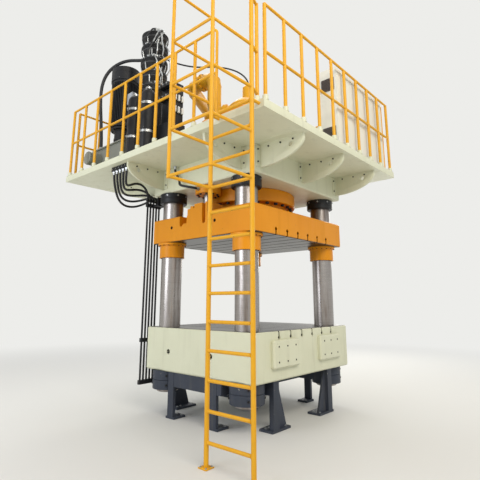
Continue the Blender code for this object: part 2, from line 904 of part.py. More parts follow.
def make_slide():
    """The slide: a thick platen with T-slots below and a return lug on each side."""
    slide = soft_box("slide", (-slide_width / 2, -slide_depth / 2, slide_bottom),
                     (slide_width / 2, slide_depth / 2, slide_top), slide_edge_round)
    seat = bore(ram_seat_radius, slide_top - sink, slide_top + ram_seat_height, cylinder_sides)
    lugs = lug_pieces(-1) + lug_pieces(1)
    slide = joined(slide, seat, *lugs)
    cutters = lug_cutters(-1) + lug_cutters(1)
    return cut(slide,
               column_holes(bush_sleeve_radius + gap, slide_bottom - overrun, slide_top + overrun),
               slot_cutters(slide_bottom, 1, slide_depth),
               side_holes(slide_width / 2, slide_side_hole_y, slide_top - slide_side_hole_drop,
                          slide_side_hole_radius, slide_side_hole_depth),
               gather("lug_cuts", cutters))


def make_guide_bushes():
    """Flanged bushes that guide the slide on the columns, hanging below it."""
    pieces = {}
    inner = column_radius + bush_clearance
    top = slide_bottom - gap
    bottom = slide_bottom - bush_drop
    for place, (side_x, side_y) in column_places.items():
        profile = [(inner, slide_top), (bush_sleeve_radius, slide_top), (bush_sleeve_radius, top),
                   (bush_flange_radius, top), (bush_flange_radius, top - bush_flange_height),
                   (bush_radius, top - bush_flange_height), (bush_radius, bottom), (inner, bottom)]
        name = f"guide_bush_{place}"
        at = (side_x * column_x, side_y * column_y)
        pieces[name] = turned(name, profile, column_sides, at)
    return pieces


def make_ejector():
    """The cylinder under the bed and the rod that lifts work off the table."""
    top = bed_bottom - gap
    inner = ejector_rod_radius + ejector_rod_clearance
    floor_top = ejector_bottom + ejector_floor_thickness
    profile = [(0, floor_top), (inner, floor_top), (inner, top), (ejector_flange_radius, top),
               (ejector_flange_radius, top - ejector_flange_height),
               (ejector_barrel_radius, top - ejector_flange_height),
               (ejector_barrel_radius, ejector_bottom), (0, ejector_bottom)]
    barrel = turned("ejector_cylinder", profile, column_sides, closed=False)
    pad_top = bed_top - ejector_pad_drop
    profile = [(0, pad_top), (ejector_pad_radius, pad_top),
               (ejector_pad_radius, pad_top - ejector_pad_height),
               (ejector_rod_radius, pad_top - ejector_pad_height),
               (ejector_rod_radius, ejector_bottom + ejector_floor_thickness + gap),
               (0, ejector_bottom + ejector_floor_thickness + gap)]
    rod_piece = turned("ejector_rod", profile, column_sides, closed=False)
    return {"ejector_cylinder": barrel, "ejector_rod": rod_piece}


def end_leg(side_x, side_y):
    """A leg at the front or back: a post, a web that spreads inwards, and a foot plate."""
    outer = side_x * (end_leg_x + leg_width / 2)
    inner = side_x * (end_leg_x - leg_width / 2)
    face = side_y * base_reach_y
    top = base_top - sink
    low = foot_thickness - sink
    post = box("post", (outer, face, low), (inner, face - side_y * leg_depth, top))
    edge = outer - side_x * sink
    outline = [(edge, low), (edge, top - sink), (inner - side_x * leg_web_top_width, top - sink),
               (inner - side_x * leg_web_foot_width, low)]
    web_y = face - side_y * (leg_depth + leg_web_thickness / 2 - sink)
    web = plate("web", outline, leg_web_thickness, (1, 0, 0), (0, 0, 1), (0, web_y, 0))
    foot_end = inner - side_x * (leg_web_foot_width + foot_margin)
    foot = box("foot", (outer + side_x * foot_margin, face, 0),
               (foot_end, face - side_y * foot_width, foot_thickness))
    return [post, web, foot]


def side_leg(side_x, along):
    """A leg at the left or right: a post on a foot plate."""
    face = side_x * (base_side_x + base_beam_width / 2 + sink)
    half = leg_width / 2
    post = box("post", (face, along - half, foot_thickness - sink),
               (face - side_x * leg_depth, along + half, base_top - sink))
    foot = box("foot", (face, along - half - foot_margin, 0),
               (face - side_x * foot_width, along + half + foot_margin, foot_thickness))
    return [post, foot]


def make_base_frame():
    """The frame that carries the bed: side beams, cross beams and eight legs."""
    low = base_top - base_beam_height
    half = base_beam_width / 2
    sides = [box("side", (side * base_side_x - half, base_side_front_y, low),
                 (side * base_side_x + half, base_side_back_y, base_top)) for side in (-1, 1)]
    crosses = [box("cross", (-base_side_x, side * base_cross_y - half, low + sink),
                   (base_side_x, side * base_cross_y + half, base_top - sink)) for side in (-1, 1)]
    runs = [box("run", (side * end_leg_x - half + sink, leg_depth - base_reach_y, low + 2 * sink),
                (side * end_leg_x + half - sink, base_reach_y - leg_depth, base_top - 2 * sink))
            for side in (-1, 1)]
    legs = []
    for side_x in (-1, 1):
        for side_y in (-1, 1):
            legs += end_leg(side_x, side_y)
        for along in side_leg_y:
            legs += side_leg(side_x, along)
    frame = joined(sides[0], *crosses, sides[1], *runs)
    return joined(frame, *legs)


def bracket(reach, across, at):
    """A deck bracket: a plate with a straight top and a rounded lower edge, and one round hole."""
    nose = bracket_height * bracket_nose_share
    outline = [(0, sink), (reach, sink)]
    for step in range(bar_sides + 1):
        angle = math.pi / 2 * step / bar_sides
        outline.append((nose + (reach - nose) * math.cos(angle),
                        -nose - (bracket_height - nose) * math.sin(angle)))
    outline.append((0, -bracket_height))
    piece = plate("bracket", outline, bracket_thickness, across, (0, 0, 1), at)
    normal = Vector(across).cross(Vector((0, 0, 1)))
    hole_at = Vector(at) + Vector(across) * reach * bracket_hole_share - Vector((0, 0, 1)) * bracket_height / 3
    hole = rod("hole", bracket_hole_radius, hole_at - normal * bracket_thickness,
               hole_at + normal * bracket_thickness)
    return cut(piece, hole)


def make_deck():
    """The service deck round the crown, with its gusset brackets."""
    deck = box("deck", (deck_left, deck_front, deck_bottom), (deck_right, deck_back, deck_top))
    half_width = crown_width / 2 + gap
    half_depth = crown_depth / 2 + gap
    opening = box("opening", (-half_width, -half_depth, deck_bottom - overrun),
                  (half_width, half_depth, deck_top + overrun))
    deck = cut(deck, opening)
    brackets = []
    front_reach = -half_depth - deck_front - bracket_setback
    for place in front_bracket_x:
        brackets.append(bracket(front_reach, (0, -1, 0), (place, -half_depth, deck_bottom)))
    for place in back_bracket_x:
        brackets.append(bracket(back_bracket_reach, (0, 1, 0), (place, half_depth, deck_bottom)))
    for place in side_bracket_y:
        brackets.append(bracket(-half_width - deck_left - bracket_setback, (-1, 0, 0),
                                (-half_width, place, deck_bottom)))
        brackets.append(bracket(deck_right - half_width - bracket_setback, (1, 0, 0),
                                (half_width, place, deck_bottom)))
    return joined(deck, gather("brackets", brackets))


def rail_panel(name, start, end, pitch, round_end=False):
    """One straight guard rail: evenly spaced posts with a middle bar and a top bar."""
    start, end = Vector((*start, 0)), Vector((*end, 0))
    run = end - start
    count = max(1, round(run.length / pitch))
    direction = run.normalized()
    base = Vector((0, 0, deck_top + gap))
    top = Vector((0, 0, rail_top - rail_bar_radius))
    middle = Vector((0, 0, deck_top + rail_height * rail_middle_share))
    last = count if round_end else count + 1
    places = [start + run * index / count for index in range(last)]
    posts = [rod("post", rail_post_radius, place + base, place + top) for place in places]
    if round_end:
        frame = tube(name, bent_route([start + top, end + top, end + base], rail_bend), rail_bar_radius)
    else:
        ledge = direction * rail_bar_radius
        frame = tube(name, [start - ledge + top, end + ledge + top], rail_bar_radius)
    middle_bar = tube("bar", [start + middle, end + middle], rail_bar_radius)
    return joined(frame, gather("posts", posts), middle_bar)


def make_guard_rails():
    """Guard rails along the four edges of the deck."""
    left, right = deck_left + rail_inset, deck_right - rail_inset
    front, back = deck_front + rail_inset, deck_back - rail_inset
    clear = rail_pitch / 4
    return {
        "guard_rail_front": rail_panel("guard_rail_front", (left + rail_inset, front), (right, front),
                                       rail_pitch),
        "guard_rail_right": rail_panel("guard_rail_right", (right, front + clear), (right, back),
                                       rail_far_pitch),
        "guard_rail_back": rail_panel("guard_rail_back", (right - clear, back), (left + clear, back),
                                      rail_far_pitch),
        "guard_rail_left": rail_panel("guard_rail_left", (left, back), (left, rail_left_end_y),
                                      rail_pitch, round_end=True),
    }


def make_ladder():
    """The ladder, with its feet, its rungs, its ties to the deck and the corner post beside it."""
    stile_top = rail_top
    stiles = [rod("stile", stile_radius, (ladder_x, place, ladder_foot_thickness / 2),
                  (ladder_x, place, stile_top)) for place in (ladder_front_y, ladder_back_y)]
    feet = [box("foot", (ladder_x - ladder_foot_size / 2, place - ladder_foot_size / 2, 0),
                (ladder_x + ladder_foot_size / 2, place + ladder_foot_size / 2, ladder_foot_thickness))
            for place in (ladder_front_y, ladder_back_y)]
    count = math.floor((deck_top - first_rung_height) / rung_pitch) + 1
    rungs = [tube("rung", [(ladder_x, ladder_front_y, first_rung_height + index * rung_pitch),
                           (ladder_x, ladder_back_y, first_rung_height + index * rung_pitch)],
                  rung_radius) for index in range(count)]
    tie_height = (deck_bottom + deck_top) / 2
    ties = [rod("tie", rung_radius, (ladder_x, place, tie_height), (deck_left - gap, place, tie_height))
            for place in (ladder_front_y, ladder_back_y)]
    arms = []
    for level in (*cage_heights[2:], rail_top - rail_bar_radius):
        arms.append(tube("arm", [(ladder_x, ladder_front_y, level), (corner_post_x, corner_post_y, level)],
                         rail_bar_radius))
    post = rod("post", rail_post_radius, (corner_post_x, corner_post_y, deck_top + gap),
               (corner_post_x, corner_post_y, stile_top))
    frame = joined(gather("ladder", stiles), gather("rungs", rungs))
    frame = joined(frame, gather("feet", feet + ties))
    return joined(frame, gather("arms", arms), post)


def make_ladder_cage():
    """The square cage round the upper part of the ladder."""
    outer_x = ladder_x - cage_reach
    stile_face = ladder_x - flat_reach(stile_radius) - gap
    levels = (*cage_heights, rail_top - cage_tube_radius)
    hoops = [tube("hoop", [(stile_face, ladder_back_y, level), (outer_x, ladder_back_y, level),
                           (outer_x, ladder_front_y, level), (stile_face, ladder_front_y, level)],
                  cage_tube_radius) for level in levels]
    low, high = levels[0] - cage_tube_radius, levels[-1] + cage_tube_radius
    posts = [rod("post", cage_tube_radius, (outer_x, place, low - sink), (outer_x, place, high))
             for place in (ladder_front_y, ladder_back_y)]
    return joined(gather("ladder_cage", hoops), gather("posts", posts))


def make_oil_tank():
    """The oil tank on short feet, with its lid and a filter housing on its left end."""
    tank = box("oil_tank", (tank_left, tank_front, tank_bottom), (tank_right, tank_back, tank_top))
    lid = box("lid", (tank_left - tank_lid_overhang, tank_front - tank_lid_overhang,
                      tank_top - tank_lid_thickness),
              (tank_right + tank_lid_overhang, tank_back + tank_lid_overhang, tank_top + gap))
    feet = []
    for across in (tank_left, tank_right - tank_foot_size):
        for along in (tank_front, tank_back - tank_foot_size):
            feet.append(box("foot", (across, along, deck_top + gap),
                            (across + tank_foot_size, along + tank_foot_size, tank_bottom + sink)))
    height = tank_bottom + filter_rise
    housing = rod("filter", filter_radius, (tank_left - filter_reach, filter_y, height),
                  (tank_left + overrun, filter_y, height), small_sides)
    return joined(tank, lid, gather("feet", feet), housing)


def fin_outline():
    """The finned outline of a motor's body."""
    outline = []
    land = math.pi / motor_fins * motor_fin_land_share
    pitch = 2 * math.pi / motor_fins
    for fin in range(motor_fins):
        for offset, radius in ((-land, motor_radius), (land, motor_radius),
                               (land, motor_radius - motor_fin_depth),
                               (pitch - land, motor_radius - motor_fin_depth)):
            angle = fin * pitch + offset
            outline.append((radius * math.cos(angle), radius * math.sin(angle)))
    return outline


def make_motors():
    """Two pump motors, each standing on its pump: a finned body, a terminal box and a fan cowl."""
    foot = tank_top + 2 * gap
    body_low = foot + pump_height
    body_high = body_low + motor_height
    profile = [(0, body_low + sink), (pump_foot_radius, body_low + sink),
               (pump_foot_radius, body_low - pump_foot_height),
               (pump_neck_radius, body_low - pump_foot_height),
               (pump_neck_radius, foot + pump_foot_height), (pump_foot_radius, foot + pump_foot_height),
               (pump_foot_radius, foot), (0, foot)]
    pump = turned("pump", profile, small_sides, closed=False)
    body_middle = (0, 0, (body_low + body_high) / 2)
    motor = plate("motor", fin_outline(), motor_height, (1, 0, 0), (0, 1, 0), body_middle)
    cowl_top = body_high + cowl_height
    cowl_inner = cowl_radius - cowl_wall
    profile = [(0, body_high + cowl_wall), (cowl_inner, body_high + cowl_wall), (cowl_inner, cowl_top),
               (cowl_radius, cowl_top), (cowl_radius, body_high - sink), (0, body_high - sink)]
    cowl = turned("cowl", profile, column_sides, closed=False)
    reach = cowl_radius - cowl_wall / 2
    half = cowl_bar_width / 2
    long_bar = box("bar", (-reach, -half, cowl_top - cowl_wall), (reach, half, cowl_top - sink / 2))
    cross_bar = box("bar", (-half, -reach, cowl_top - cowl_wall + sink / 2), (half, reach, cowl_top - sink))
    shaft = rod("shaft", fan_shaft_radius, (0, 0, body_high + sink),
                (0, 0, body_high + cowl_wall + fan_rise + fan_height))
    size_x, size_y, size_z = terminal_box
    middle = body_low + motor_height * terminal_box_share
    front = overrun - motor_radius
    terminal = box("terminal", (-size_x / 2, front - size_y, middle - size_z / 2),
                   (size_x / 2, front, middle + size_z / 2))
    cowl = joined(cowl, shaft, long_bar, cross_bar)
    motor = joined(motor, pump, terminal, cowl)
    return placed_copies(motor, {f"pump_motor_{number}": (place_x, motor_y)
                                 for number, place_x in enumerate(motor_x, start=1)})


def make_motor_fans():
    """The cooling fans on the motors' upper shaft ends, under their cowls."""
    low = tank_top + 2 * gap + pump_height + motor_height + cowl_wall + fan_rise
    inner = fan_shaft_radius + shaft_clearance
    fan = ring("fan", inner, fan_hub_radius, low, low + fan_height, small_sides)
    root = inner + fan_blade_thickness
    size = Matrix.Diagonal((fan_radius - root, fan_blade_thickness, fan_height, 1))
    tilt = Matrix.Rotation(math.radians(fan_blade_tilt_deg), 4, "X")
    reach = Matrix.Translation(((fan_radius + root) / 2, 0, low + fan_height / 2))
    blades = []
    for index in range(fan_blades):
        turn = Matrix.Rotation(2 * math.pi * index / fan_blades, 4, "Z")
        form = bmesh.new()
        bmesh.ops.create_cube(form, size=1, matrix=turn @ reach @ tilt @ size)
        blades.append(piece_from_form("blade", form))
    fan = joined(fan, *blades)
    return placed_copies(fan, {f"motor_fan_{number}": (place_x, motor_y)
                               for number, place_x in enumerate(motor_x, start=1)})


def suction_height():
    """The height of the suction port's axis."""
    return barrel_top + gap + prefill_height * suction_axis_share


def suction_direction():
    """The level direction from the press axis to the suction pipe's upright leg."""
    return Vector((suction_leg_x, suction_leg_y, 0)).normalized()


def make_prefill_valve():
    """The prefill valve on the main cylinder, with its pilot cylinder and its suction port."""
    base = barrel_top + gap
    top = base + prefill_height
    shoulder = base + prefill_height * prefill_shoulder_share
    pilot_top = top + pilot_height
    profile = [(0, pilot_top), (pilot_radius * prefill_shoulder_share, pilot_top),
               (pilot_radius, pilot_top - pilot_cap_height), (pilot_radius, top),
               (prefill_radius * prefill_shoulder_share, top), (prefill_radius, shoulder),
               (prefill_radius, base + prefill_flange_height),
               (prefill_flange_radius, base + prefill_flange_height), (prefill_flange_radius, base),
               (0, base)]
    valve = turned("prefill_valve", profile, column_sides, closed=False)
    axis = Vector((0, 0, suction_height()))
    port = rod("port", suction_flange_radius, axis, axis + suction_direction() * suction_port_reach,
               small_sides)
    return joined(valve, port)


def make_suction_pipe():
    """The suction pipe from the prefill valve, up, over and down into the oil tank."""
    direction = suction_direction()
    rise = Vector((0, 0, suction_height()))
    start = direction * (suction_port_reach + gap) + rise
    leg = Vector((suction_leg_x, suction_leg_y, 0))
    foot_at = Vector((suction_drop_x, suction_drop_y, tank_top + 2 * gap))
    top = Vector((0, 0, suction_top))
    corners = [start, leg + rise, leg + top, (suction_leg_x, suction_turn_y, suction_top),
               (suction_drop_x, suction_drop_y, suction_top), foot_at]
    pipe = tube("suction_pipe", bent_route(corners, suction_bend), suction_radius, 3)
    collar = rod("collar", suction_flange_radius, start, start + direction * suction_flange_thickness,
                 small_sides)
    foot = rod("foot", suction_flange_radius, foot_at,
               foot_at + Vector((0, 0, suction_flange_thickness)), small_sides)
    middle = Vector((suction_leg_x, (suction_leg_y + suction_turn_y) / 2, suction_top))
    half = Vector((0, suction_flange_thickness, 0))
    flanges = rod("flanges", suction_flange_radius, middle - half, middle + half, small_sides)
    return joined(pipe, collar, foot, flanges)


def tower_ring_height(number):
    """The height of the middle of one of the tower's rings, counted from the top."""
    pitch = (tower_top - tower_ring_start) / tower_rings
    return tower_top - pitch * (number + (tower_ring_shares[0] + tower_ring_shares[1]) / 2)


def make_valve_manifold():
    """The valve manifold: a block on the deck, a tall stack of valves and a block of pilot valves."""
    base = deck_top + gap
    top = base + manifold_height
    block = soft_box("valve_manifold", (manifold_x[0], manifold_y[0], base),
                     (manifold_x[1], manifold_y[1], top), bed_edge_round)
    profile = [(0, tower_top), (tower_radius, tower_top)]
    pitch = (tower_top - tower_ring_start) / tower_rings
    widths = (tower_ring_radius, tower_ring_radius, tower_radius)
    for index in range(tower_rings):
        for width, share in zip(widths, tower_ring_shares):
            profile.append((width, tower_top - pitch * (index + share)))
    profile += [(tower_radius, top - sink), (0, top - sink)]
    tower = turned("tower", profile, small_sides, (tower_x, tower_y), closed=False)
    pilot_top = top + pilot_block_height
    pilot_block = box("pilot_block", (pilot_block_x[0], pilot_block_y[0], top - sink),
                      (pilot_block_x[1], pilot_block_y[1], pilot_top))
    solenoids = []
    pitch_y = (pilot_block_y[1] - pilot_block_y[0]) / solenoid_columns
    half = solenoid_size / 2
    for row in range(solenoid_rows):
        height = pilot_top - solenoid_size - row * solenoid_pitch
        for column in range(solenoid_columns):
            along = pilot_block_y[0] + pitch_y * (column + 0.5)
            solenoids.append(box("solenoid", (pilot_block_x[0] - solenoid_reach, along - half, height - half),
                                 (pilot_block_x[0] + sink, along + half, height + half)))
    pilot_block = joined(pilot_block, gather("solenoids", solenoids))
    return joined(block, tower, pilot_block)


def make_accumulators():
    """Two upright accumulators with round ends."""
    pieces = {}
    base = deck_top + gap
    top = base + accumulator_height
    radius = accumulator_radius
    for number, at in enumerate(accumulator_places, start=1):
        shoulder = top - accumulator_neck_radius
        angles = [math.pi / 2 * share for share in accumulator_dome_shares]
        dome = [(radius * math.sin(angle), shoulder - radius * (1 - math.cos(angle))) for angle in angles]
        profile = [(0, top), (accumulator_neck_radius, top), (accumulator_neck_radius, dome[0][1])]
        profile += dome[1:]
        profile += [(radius, base + accumulator_foot_height),
                    (accumulator_foot_radius, base + accumulator_foot_height),
                    (accumulator_foot_radius, base), (0, base)]
        name = f"accumulator_{number}"
        pieces[name] = turned(name, profile, small_sides, at, closed=False)
    return pieces


def door_bounds(side):
    """The low and high corners of a closed cabinet door. Side -1 is the left door."""
    middle = (cabinet_left + cabinet_right) / 2
    low_z = deck_top + gap + cabinet_plinth
    high_z = cabinet_top - cabinet_head
    face = cabinet_back + gap
    if side < 0:
        low_x, high_x = cabinet_left + door_inset, middle - door_gap / 2
    else:
        low_x, high_x = middle + door_gap / 2, cabinet_right - door_inset
    return Vector((low_x, face, low_z)), Vector((high_x, face + door_thickness, high_z))


def make_cabinet():
    """The electric cabinet, a deep case with two openings that face the press."""
    base = deck_top + gap
    case = box("cabinet", (cabinet_left, cabinet_front, base), (cabinet_right, cabinet_back, cabinet_top))
    middle = (cabinet_left + cabinet_right) / 2
    side_wall = cabinet_wall + door_inset
    low_z = base + cabinet_plinth + cabinet_wall
    high_z = cabinet_top - cabinet_head - cabinet_wall
    floor_y = cabinet_front + cabinet_wall
    rooms = [box("room", (cabinet_left + side_wall, floor_y, low_z),
                 (middle - cabinet_wall, cabinet_back + overrun, high_z)),
             box("room", (middle + cabinet_wall, floor_y, low_z),
                 (cabinet_right - side_wall, cabinet_back + overrun, high_z))]
    return cut(case, gather("rooms", rooms))


def handle_place(side):
    """The point on a closed door's face where its handle turns."""
    low, high = door_bounds(side)
    across = high.x - handle_inset if side < 0 else low.x + handle_inset
    return Vector((across, high.y + gap, (low.z + high.z) / 2))


def make_doors():
    """The two cabinet doors and their turning handles."""
    pieces = {}
    for side_name, side in (("left", -1), ("right", 1)):
        low, high = door_bounds(side)
        pieces[f"cabinet_door_{side_name}"] = soft_box(f"cabinet_door_{side_name}", low, high,
                                                       door_thickness * door_round_share)
        hub = handle_place(side)
        out = Vector((0, 1, 0))
        handle = rod(f"door_handle_{side_name}", handle_hub_radius, hub, hub + out * (handle_hub_length + sink))
        half = handle_width / 2
        grip = box("grip", hub + Vector((-half, handle_hub_length, -handle_length)),
                   hub + Vector((half, handle_hub_length + handle_thickness, handle_width)))
        pieces[f"door_handle_{side_name}"] = joined(handle, grip)
    return pieces


def riser_x(index):
    """The place of one upright pipe across the back of the press."""
    return riser_first_x + index * riser_pitch


def make_hose_bundle():
    """The hoses that hang from the deck and turn down to the pipes behind the press."""
    top = deck_bottom - gap
    low = top - hose_header_size
    half = hose_header_size / 2
    bundle = box("hose_bundle", (hose_header_x - half, hose_header_y[0], low),
                 (hose_header_x + half, hose_header_y[1], top))
    for index in range(hose_count):
        share = index / (hose_count - 1)
        along = hose_header_y[0] + half + share * (hose_header_y[1] - hose_header_y[0] - hose_header_size)
        middle = [Vector(first).lerp(Vector(last), share)
                  for first, last in zip(first_hose_route, last_hose_route)]
        across = riser_x(index)
        line = hose_line((hose_header_x, along, low + sink), (0, 0, -1), middle,
                         (across, riser_y, riser_top + gap), (0, 0, 1))
        bundle = joined(bundle, tube("hose", line, hose_radius))
    half = clamp_thickness / 2
    collar = box("collar", (riser_x(0) - half, riser_y - half, riser_top + 2 * gap),
                 (riser_x(hose_count - 1) + half, riser_y + half, riser_top + 2 * gap + clamp_height / 2))
    return joined(bundle, collar)


def make_riser_pipes():
    """The upright pipes behind the press, with their clamps and the feed to the ejector."""
    pipes = [rod("pipe", riser_radius, (riser_x(index), riser_y, riser_bottom),
                 (riser_x(index), riser_y, riser_top)) for index in range(hose_count)]
    half = clamp_thickness / 2
    low_x, high_x = riser_x(0) - half, riser_x(hose_count - 1) + half
    arm_low_x = riser_x(hose_count // 2) - riser_pitch / 2
    blocks = []
    for height, back_face in ((riser_crown_clamp, crown_depth / 2), (riser_bed_clamp, bed_depth / 2)):
        blocks.append(box("clamp", (low_x, riser_y - half, height - clamp_height / 2),
                          (high_x, riser_y + half, height + clamp_height / 2)))
        blocks.append(box("arm", (arm_low_x, back_face + gap, height - clamp_height / 4),
                          (high_x - sink, riser_y, height + clamp_height / 4)))
    blocks.append(box("hanger", (arm_low_x + sink, crown_depth / 2 + 2 * gap, riser_crown_clamp),
                      (high_x - 2 * sink, crown_depth / 2 + hanger_thickness, crown_bottom + hanger_lap)))
    blocks.append(box("foot", (low_x, riser_y - half, riser_bottom - clamp_height),
                      (high_x, riser_y + half, riser_bottom + sink)))
    feed_z = riser_bottom - clamp_height / 2
    feed_end = (0, flat_reach(ejector_barrel_radius, column_sides) + gap, feed_z)
    corners = [(riser_x(hose_count - 1), riser_y, feed_z), (riser_x(hose_count - 1), feed_y, feed_z),
               (0, feed_y, feed_z), feed_end]
    blocks.append(tube("feed", bent_route(corners, clamp_height, 2), riser_radius))
    return joined(gather("riser_pipes", pipes), *blocks)


def make_crown_hose():
    """The hose from the deck to the left return cylinder."""
    port = Vector((-return_x - flat_reach(return_flange_radius, small_sides) - gap, 0,
                   crown_bottom - return_flange_height / 2))
    start = (crown_hose_route[0][0], crown_hose_route[0][1], deck_bottom - gap)
    line = hose_line(start, (0, 0, -1), crown_hose_route, port, (-1, 0, 0))
    return tube("crown_hose", line, hose_radius, 2)


def make_pilot_hose():
    """The hose from the pilot cylinder on the prefill valve to the valve tower."""
    pilot_top = barrel_top + gap + prefill_height + pilot_height
    port = Vector((tower_x + flat_reach(tower_ring_radius, small_sides) + gap, tower_y, tower_ring_height(1)))
    line = hose_line((0, 0, pilot_top + gap), (0, 0, 1), pilot_hose_route, port, (1, 0, 0))
    return tube("pilot_hose", line, pilot_hose_radius, 2)


def make_pump_hose():
    """The thick hose from the tank, over the first motor, to the valve tower."""
    port = Vector((tower_x, tower_y + flat_reach(tower_ring_radius, small_sides) + gap, tower_ring_height(1)))
    start = (pump_hose_route[0][0], pump_hose_route[0][1], tank_top + 2 * gap)
    line = hose_line(start, (0, 0, 1), pump_hose_route, port, (0, 1, 0))
    return tube("pump_hose", line, pump_hose_radius, 2)


def axis_empty(name, at):
    """An empty on a joint's axis, which carries what moves with that joint."""
    empty = bpy.data.objects.new(name, None)
    press_collection.objects.link(empty)
    empty.location = at
    return empty


def carry(empty, pieces):
    """Parent pieces to an empty without moving them."""
    bpy.context.view_layer.update()
    for piece in pieces:
        piece.parent = empty
        piece.matrix_parent_inverse = empty.matrix_world.inverted()


def finish_piece(piece, finish):
    """Give a piece its material and smooth shading on its round faces."""
    piece.data.materials.clear()
    piece.data.materials.append(finish_material(finish))
    piece.data.shade_smooth()
    piece.data.set_sharp_from_angle(angle=math.radians(sharp_angle_deg))


def build_press():
    """Make every piece, give it its finish, and hang what moves on its joint's empty."""
    finished = {
        "base_frame": (make_base_frame(), "slate_paint"),
        "bed": (make_bed(), "cream_paint"),
        "crown": (make_crown(), "cream_paint"),
        "main_cylinder": (make_main_cylinder(), "orange_paint"),
        "gland_ring": (make_gland_ring(), "orange_paint"),
        "main_ram": (make_main_ram(), "ground_steel"),
        "slide": (make_slide(), "orange_paint"),
        "deck": (make_deck(), "cream_paint"),
        "ladder": (make_ladder(), "yellow_paint"),
        "ladder_cage": (make_ladder_cage(), "yellow_paint"),
        "oil_tank": (make_oil_tank(), "tank_grey"),
        "prefill_valve": (make_prefill_valve(), "yellow_paint"),
        "suction_pipe": (make_suction_pipe(), "yellow_paint"),
        "valve_manifold": (make_valve_manifold(), "black_paint"),
        "cabinet": (make_cabinet(), "cabinet_white"),
        "hose_bundle": (make_hose_bundle(), "hose_rubber"),
        "riser_pipes": (make_riser_pipes(), "slate_paint"),
        "crown_hose": (make_crown_hose(), "hose_rubber"),
        "pilot_hose": (make_pilot_hose(), "hose_rubber"),
        "pump_hose": (make_pump_hose(), "hose_rubber"),
    }
    groups = ((make_columns(), "ground_steel"), (make_nuts(), "black_oxide"),
              (make_return_cylinders(), "orange_paint"), (make_guide_bushes(), "orange_paint"),
              (make_ejector(), "slate_paint"), (make_guard_rails(), "yellow_paint"),
              (make_accumulators(), "black_paint"), (make_doors(), "cabinet_white"),
              (make_motors(), "black_paint"), (make_motor_fans(), "fan_plastic"))
    for pieces, finish in groups:
        finished.update({name: (piece, finish) for name, piece in pieces.items()})
    pieces = {}
    for name, (piece, finish) in finished.items():
        piece.name = name
        if name.startswith("bed_nut"):
            finish = "slate_paint"
        elif name.startswith("return_rod") or name == "ejector_rod":
            finish = "ground_steel"
        elif name.startswith("door_handle"):
            finish = "black_oxide"
        finish_piece(piece, finish)
        pieces[name] = piece
    return pieces


def hang_on_joints(pieces):
    """Hang the moving pieces on empties that lie on their joints' axes."""
    ejector = axis_empty("ejector_axis", (0, 0, bed_top))
    slide = axis_empty("slide_axis", (0, 0, slide_bottom))
    carry(slide, [pieces[name] for name in pieces
                  if name in ("slide", "main_ram") or name.startswith(("guide_bush", "return_rod"))])
    carry(ejector, [pieces["ejector_rod"]])
    axes = [slide, ejector]
    for side_name, side in (("left", -1), ("right", 1)):
        low, high = door_bounds(side)
        hinge_x = low.x if side < 0 else high.x
        hinge = axis_empty(f"door_hinge_{side_name}", (hinge_x, high.y, (low.z + high.z) / 2))
        turn = axis_empty(f"handle_axis_{side_name}", handle_place(side))
        carry(hinge, [pieces[f"cabinet_door_{side_name}"], turn])
        carry(turn, [pieces[f"door_handle_{side_name}"]])
        axes.append(hinge)
    for number, place_x in enumerate(motor_x, start=1):
        spin = axis_empty(f"fan_axis_{number}", (place_x, motor_y, 0))
        carry(spin, [pieces[f"motor_fan_{number}"]])
        axes.append(spin)
    press = axis_empty("press_axis", (0, 0, 0))
    carry(press, axes + [piece for piece in pieces.values() if piece.parent is None])
    footprint_left = ladder_x - cage_reach - flat_reach(cage_tube_radius)
    press.location = (-(footprint_left + deck_right) / 2, -(deck_front + deck_back) / 2, 0)


hang_on_joints(build_press())
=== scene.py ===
import math
import random

import bmesh
import bpy
import numpy as np
from mathutils import Matrix, Vector


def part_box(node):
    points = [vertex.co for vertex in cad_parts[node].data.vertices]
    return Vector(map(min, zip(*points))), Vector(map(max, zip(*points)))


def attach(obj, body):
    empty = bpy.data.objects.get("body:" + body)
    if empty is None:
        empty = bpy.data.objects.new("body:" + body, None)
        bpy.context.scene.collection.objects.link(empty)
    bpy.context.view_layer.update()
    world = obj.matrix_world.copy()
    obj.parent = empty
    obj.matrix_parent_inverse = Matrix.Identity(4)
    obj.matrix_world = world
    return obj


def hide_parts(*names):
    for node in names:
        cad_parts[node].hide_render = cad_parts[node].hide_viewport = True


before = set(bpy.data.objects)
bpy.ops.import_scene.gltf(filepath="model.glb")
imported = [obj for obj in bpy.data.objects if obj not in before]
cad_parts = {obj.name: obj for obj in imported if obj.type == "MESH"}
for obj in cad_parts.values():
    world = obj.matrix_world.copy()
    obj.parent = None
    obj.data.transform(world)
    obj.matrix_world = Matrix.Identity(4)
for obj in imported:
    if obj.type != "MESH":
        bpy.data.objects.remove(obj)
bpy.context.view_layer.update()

scene = bpy.context.scene

# ---- the press axis: every measure below is taken from it
crownLow, crownHigh = (Vector(corner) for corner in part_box("crown"))
pressX = (crownLow.x + crownHigh.x) / 2
pressY = (crownLow.y + crownHigh.y) / 2


def at(x, y, z):
    return Vector((pressX + x, pressY + y, z))


# ---- small helpers
def srgb(hexValue):
    parts = [int(hexValue[i:i + 2], 16) / 255 for i in (1, 3, 5)]
    return (*[p / 12.92 if p <= 0.04045 else ((p + 0.055) / 1.055) ** 2.4 for p in parts], 1)


def addNode(tree, kind, settings=None, links=None):
    node = tree.nodes.new(kind)
    for name, value in (settings or {}).items():
        setattr(node, name, value)
    for key, value in (links or {}).items():
        if isinstance(value, bpy.types.NodeSocket):
            tree.links.new(value, node.inputs[key])
        else:
            node.inputs[key].default_value = value
    return node


def newObject(name, mesh):
    part = bpy.data.objects.new(name, mesh)
    scene.collection.objects.link(part)
    return part


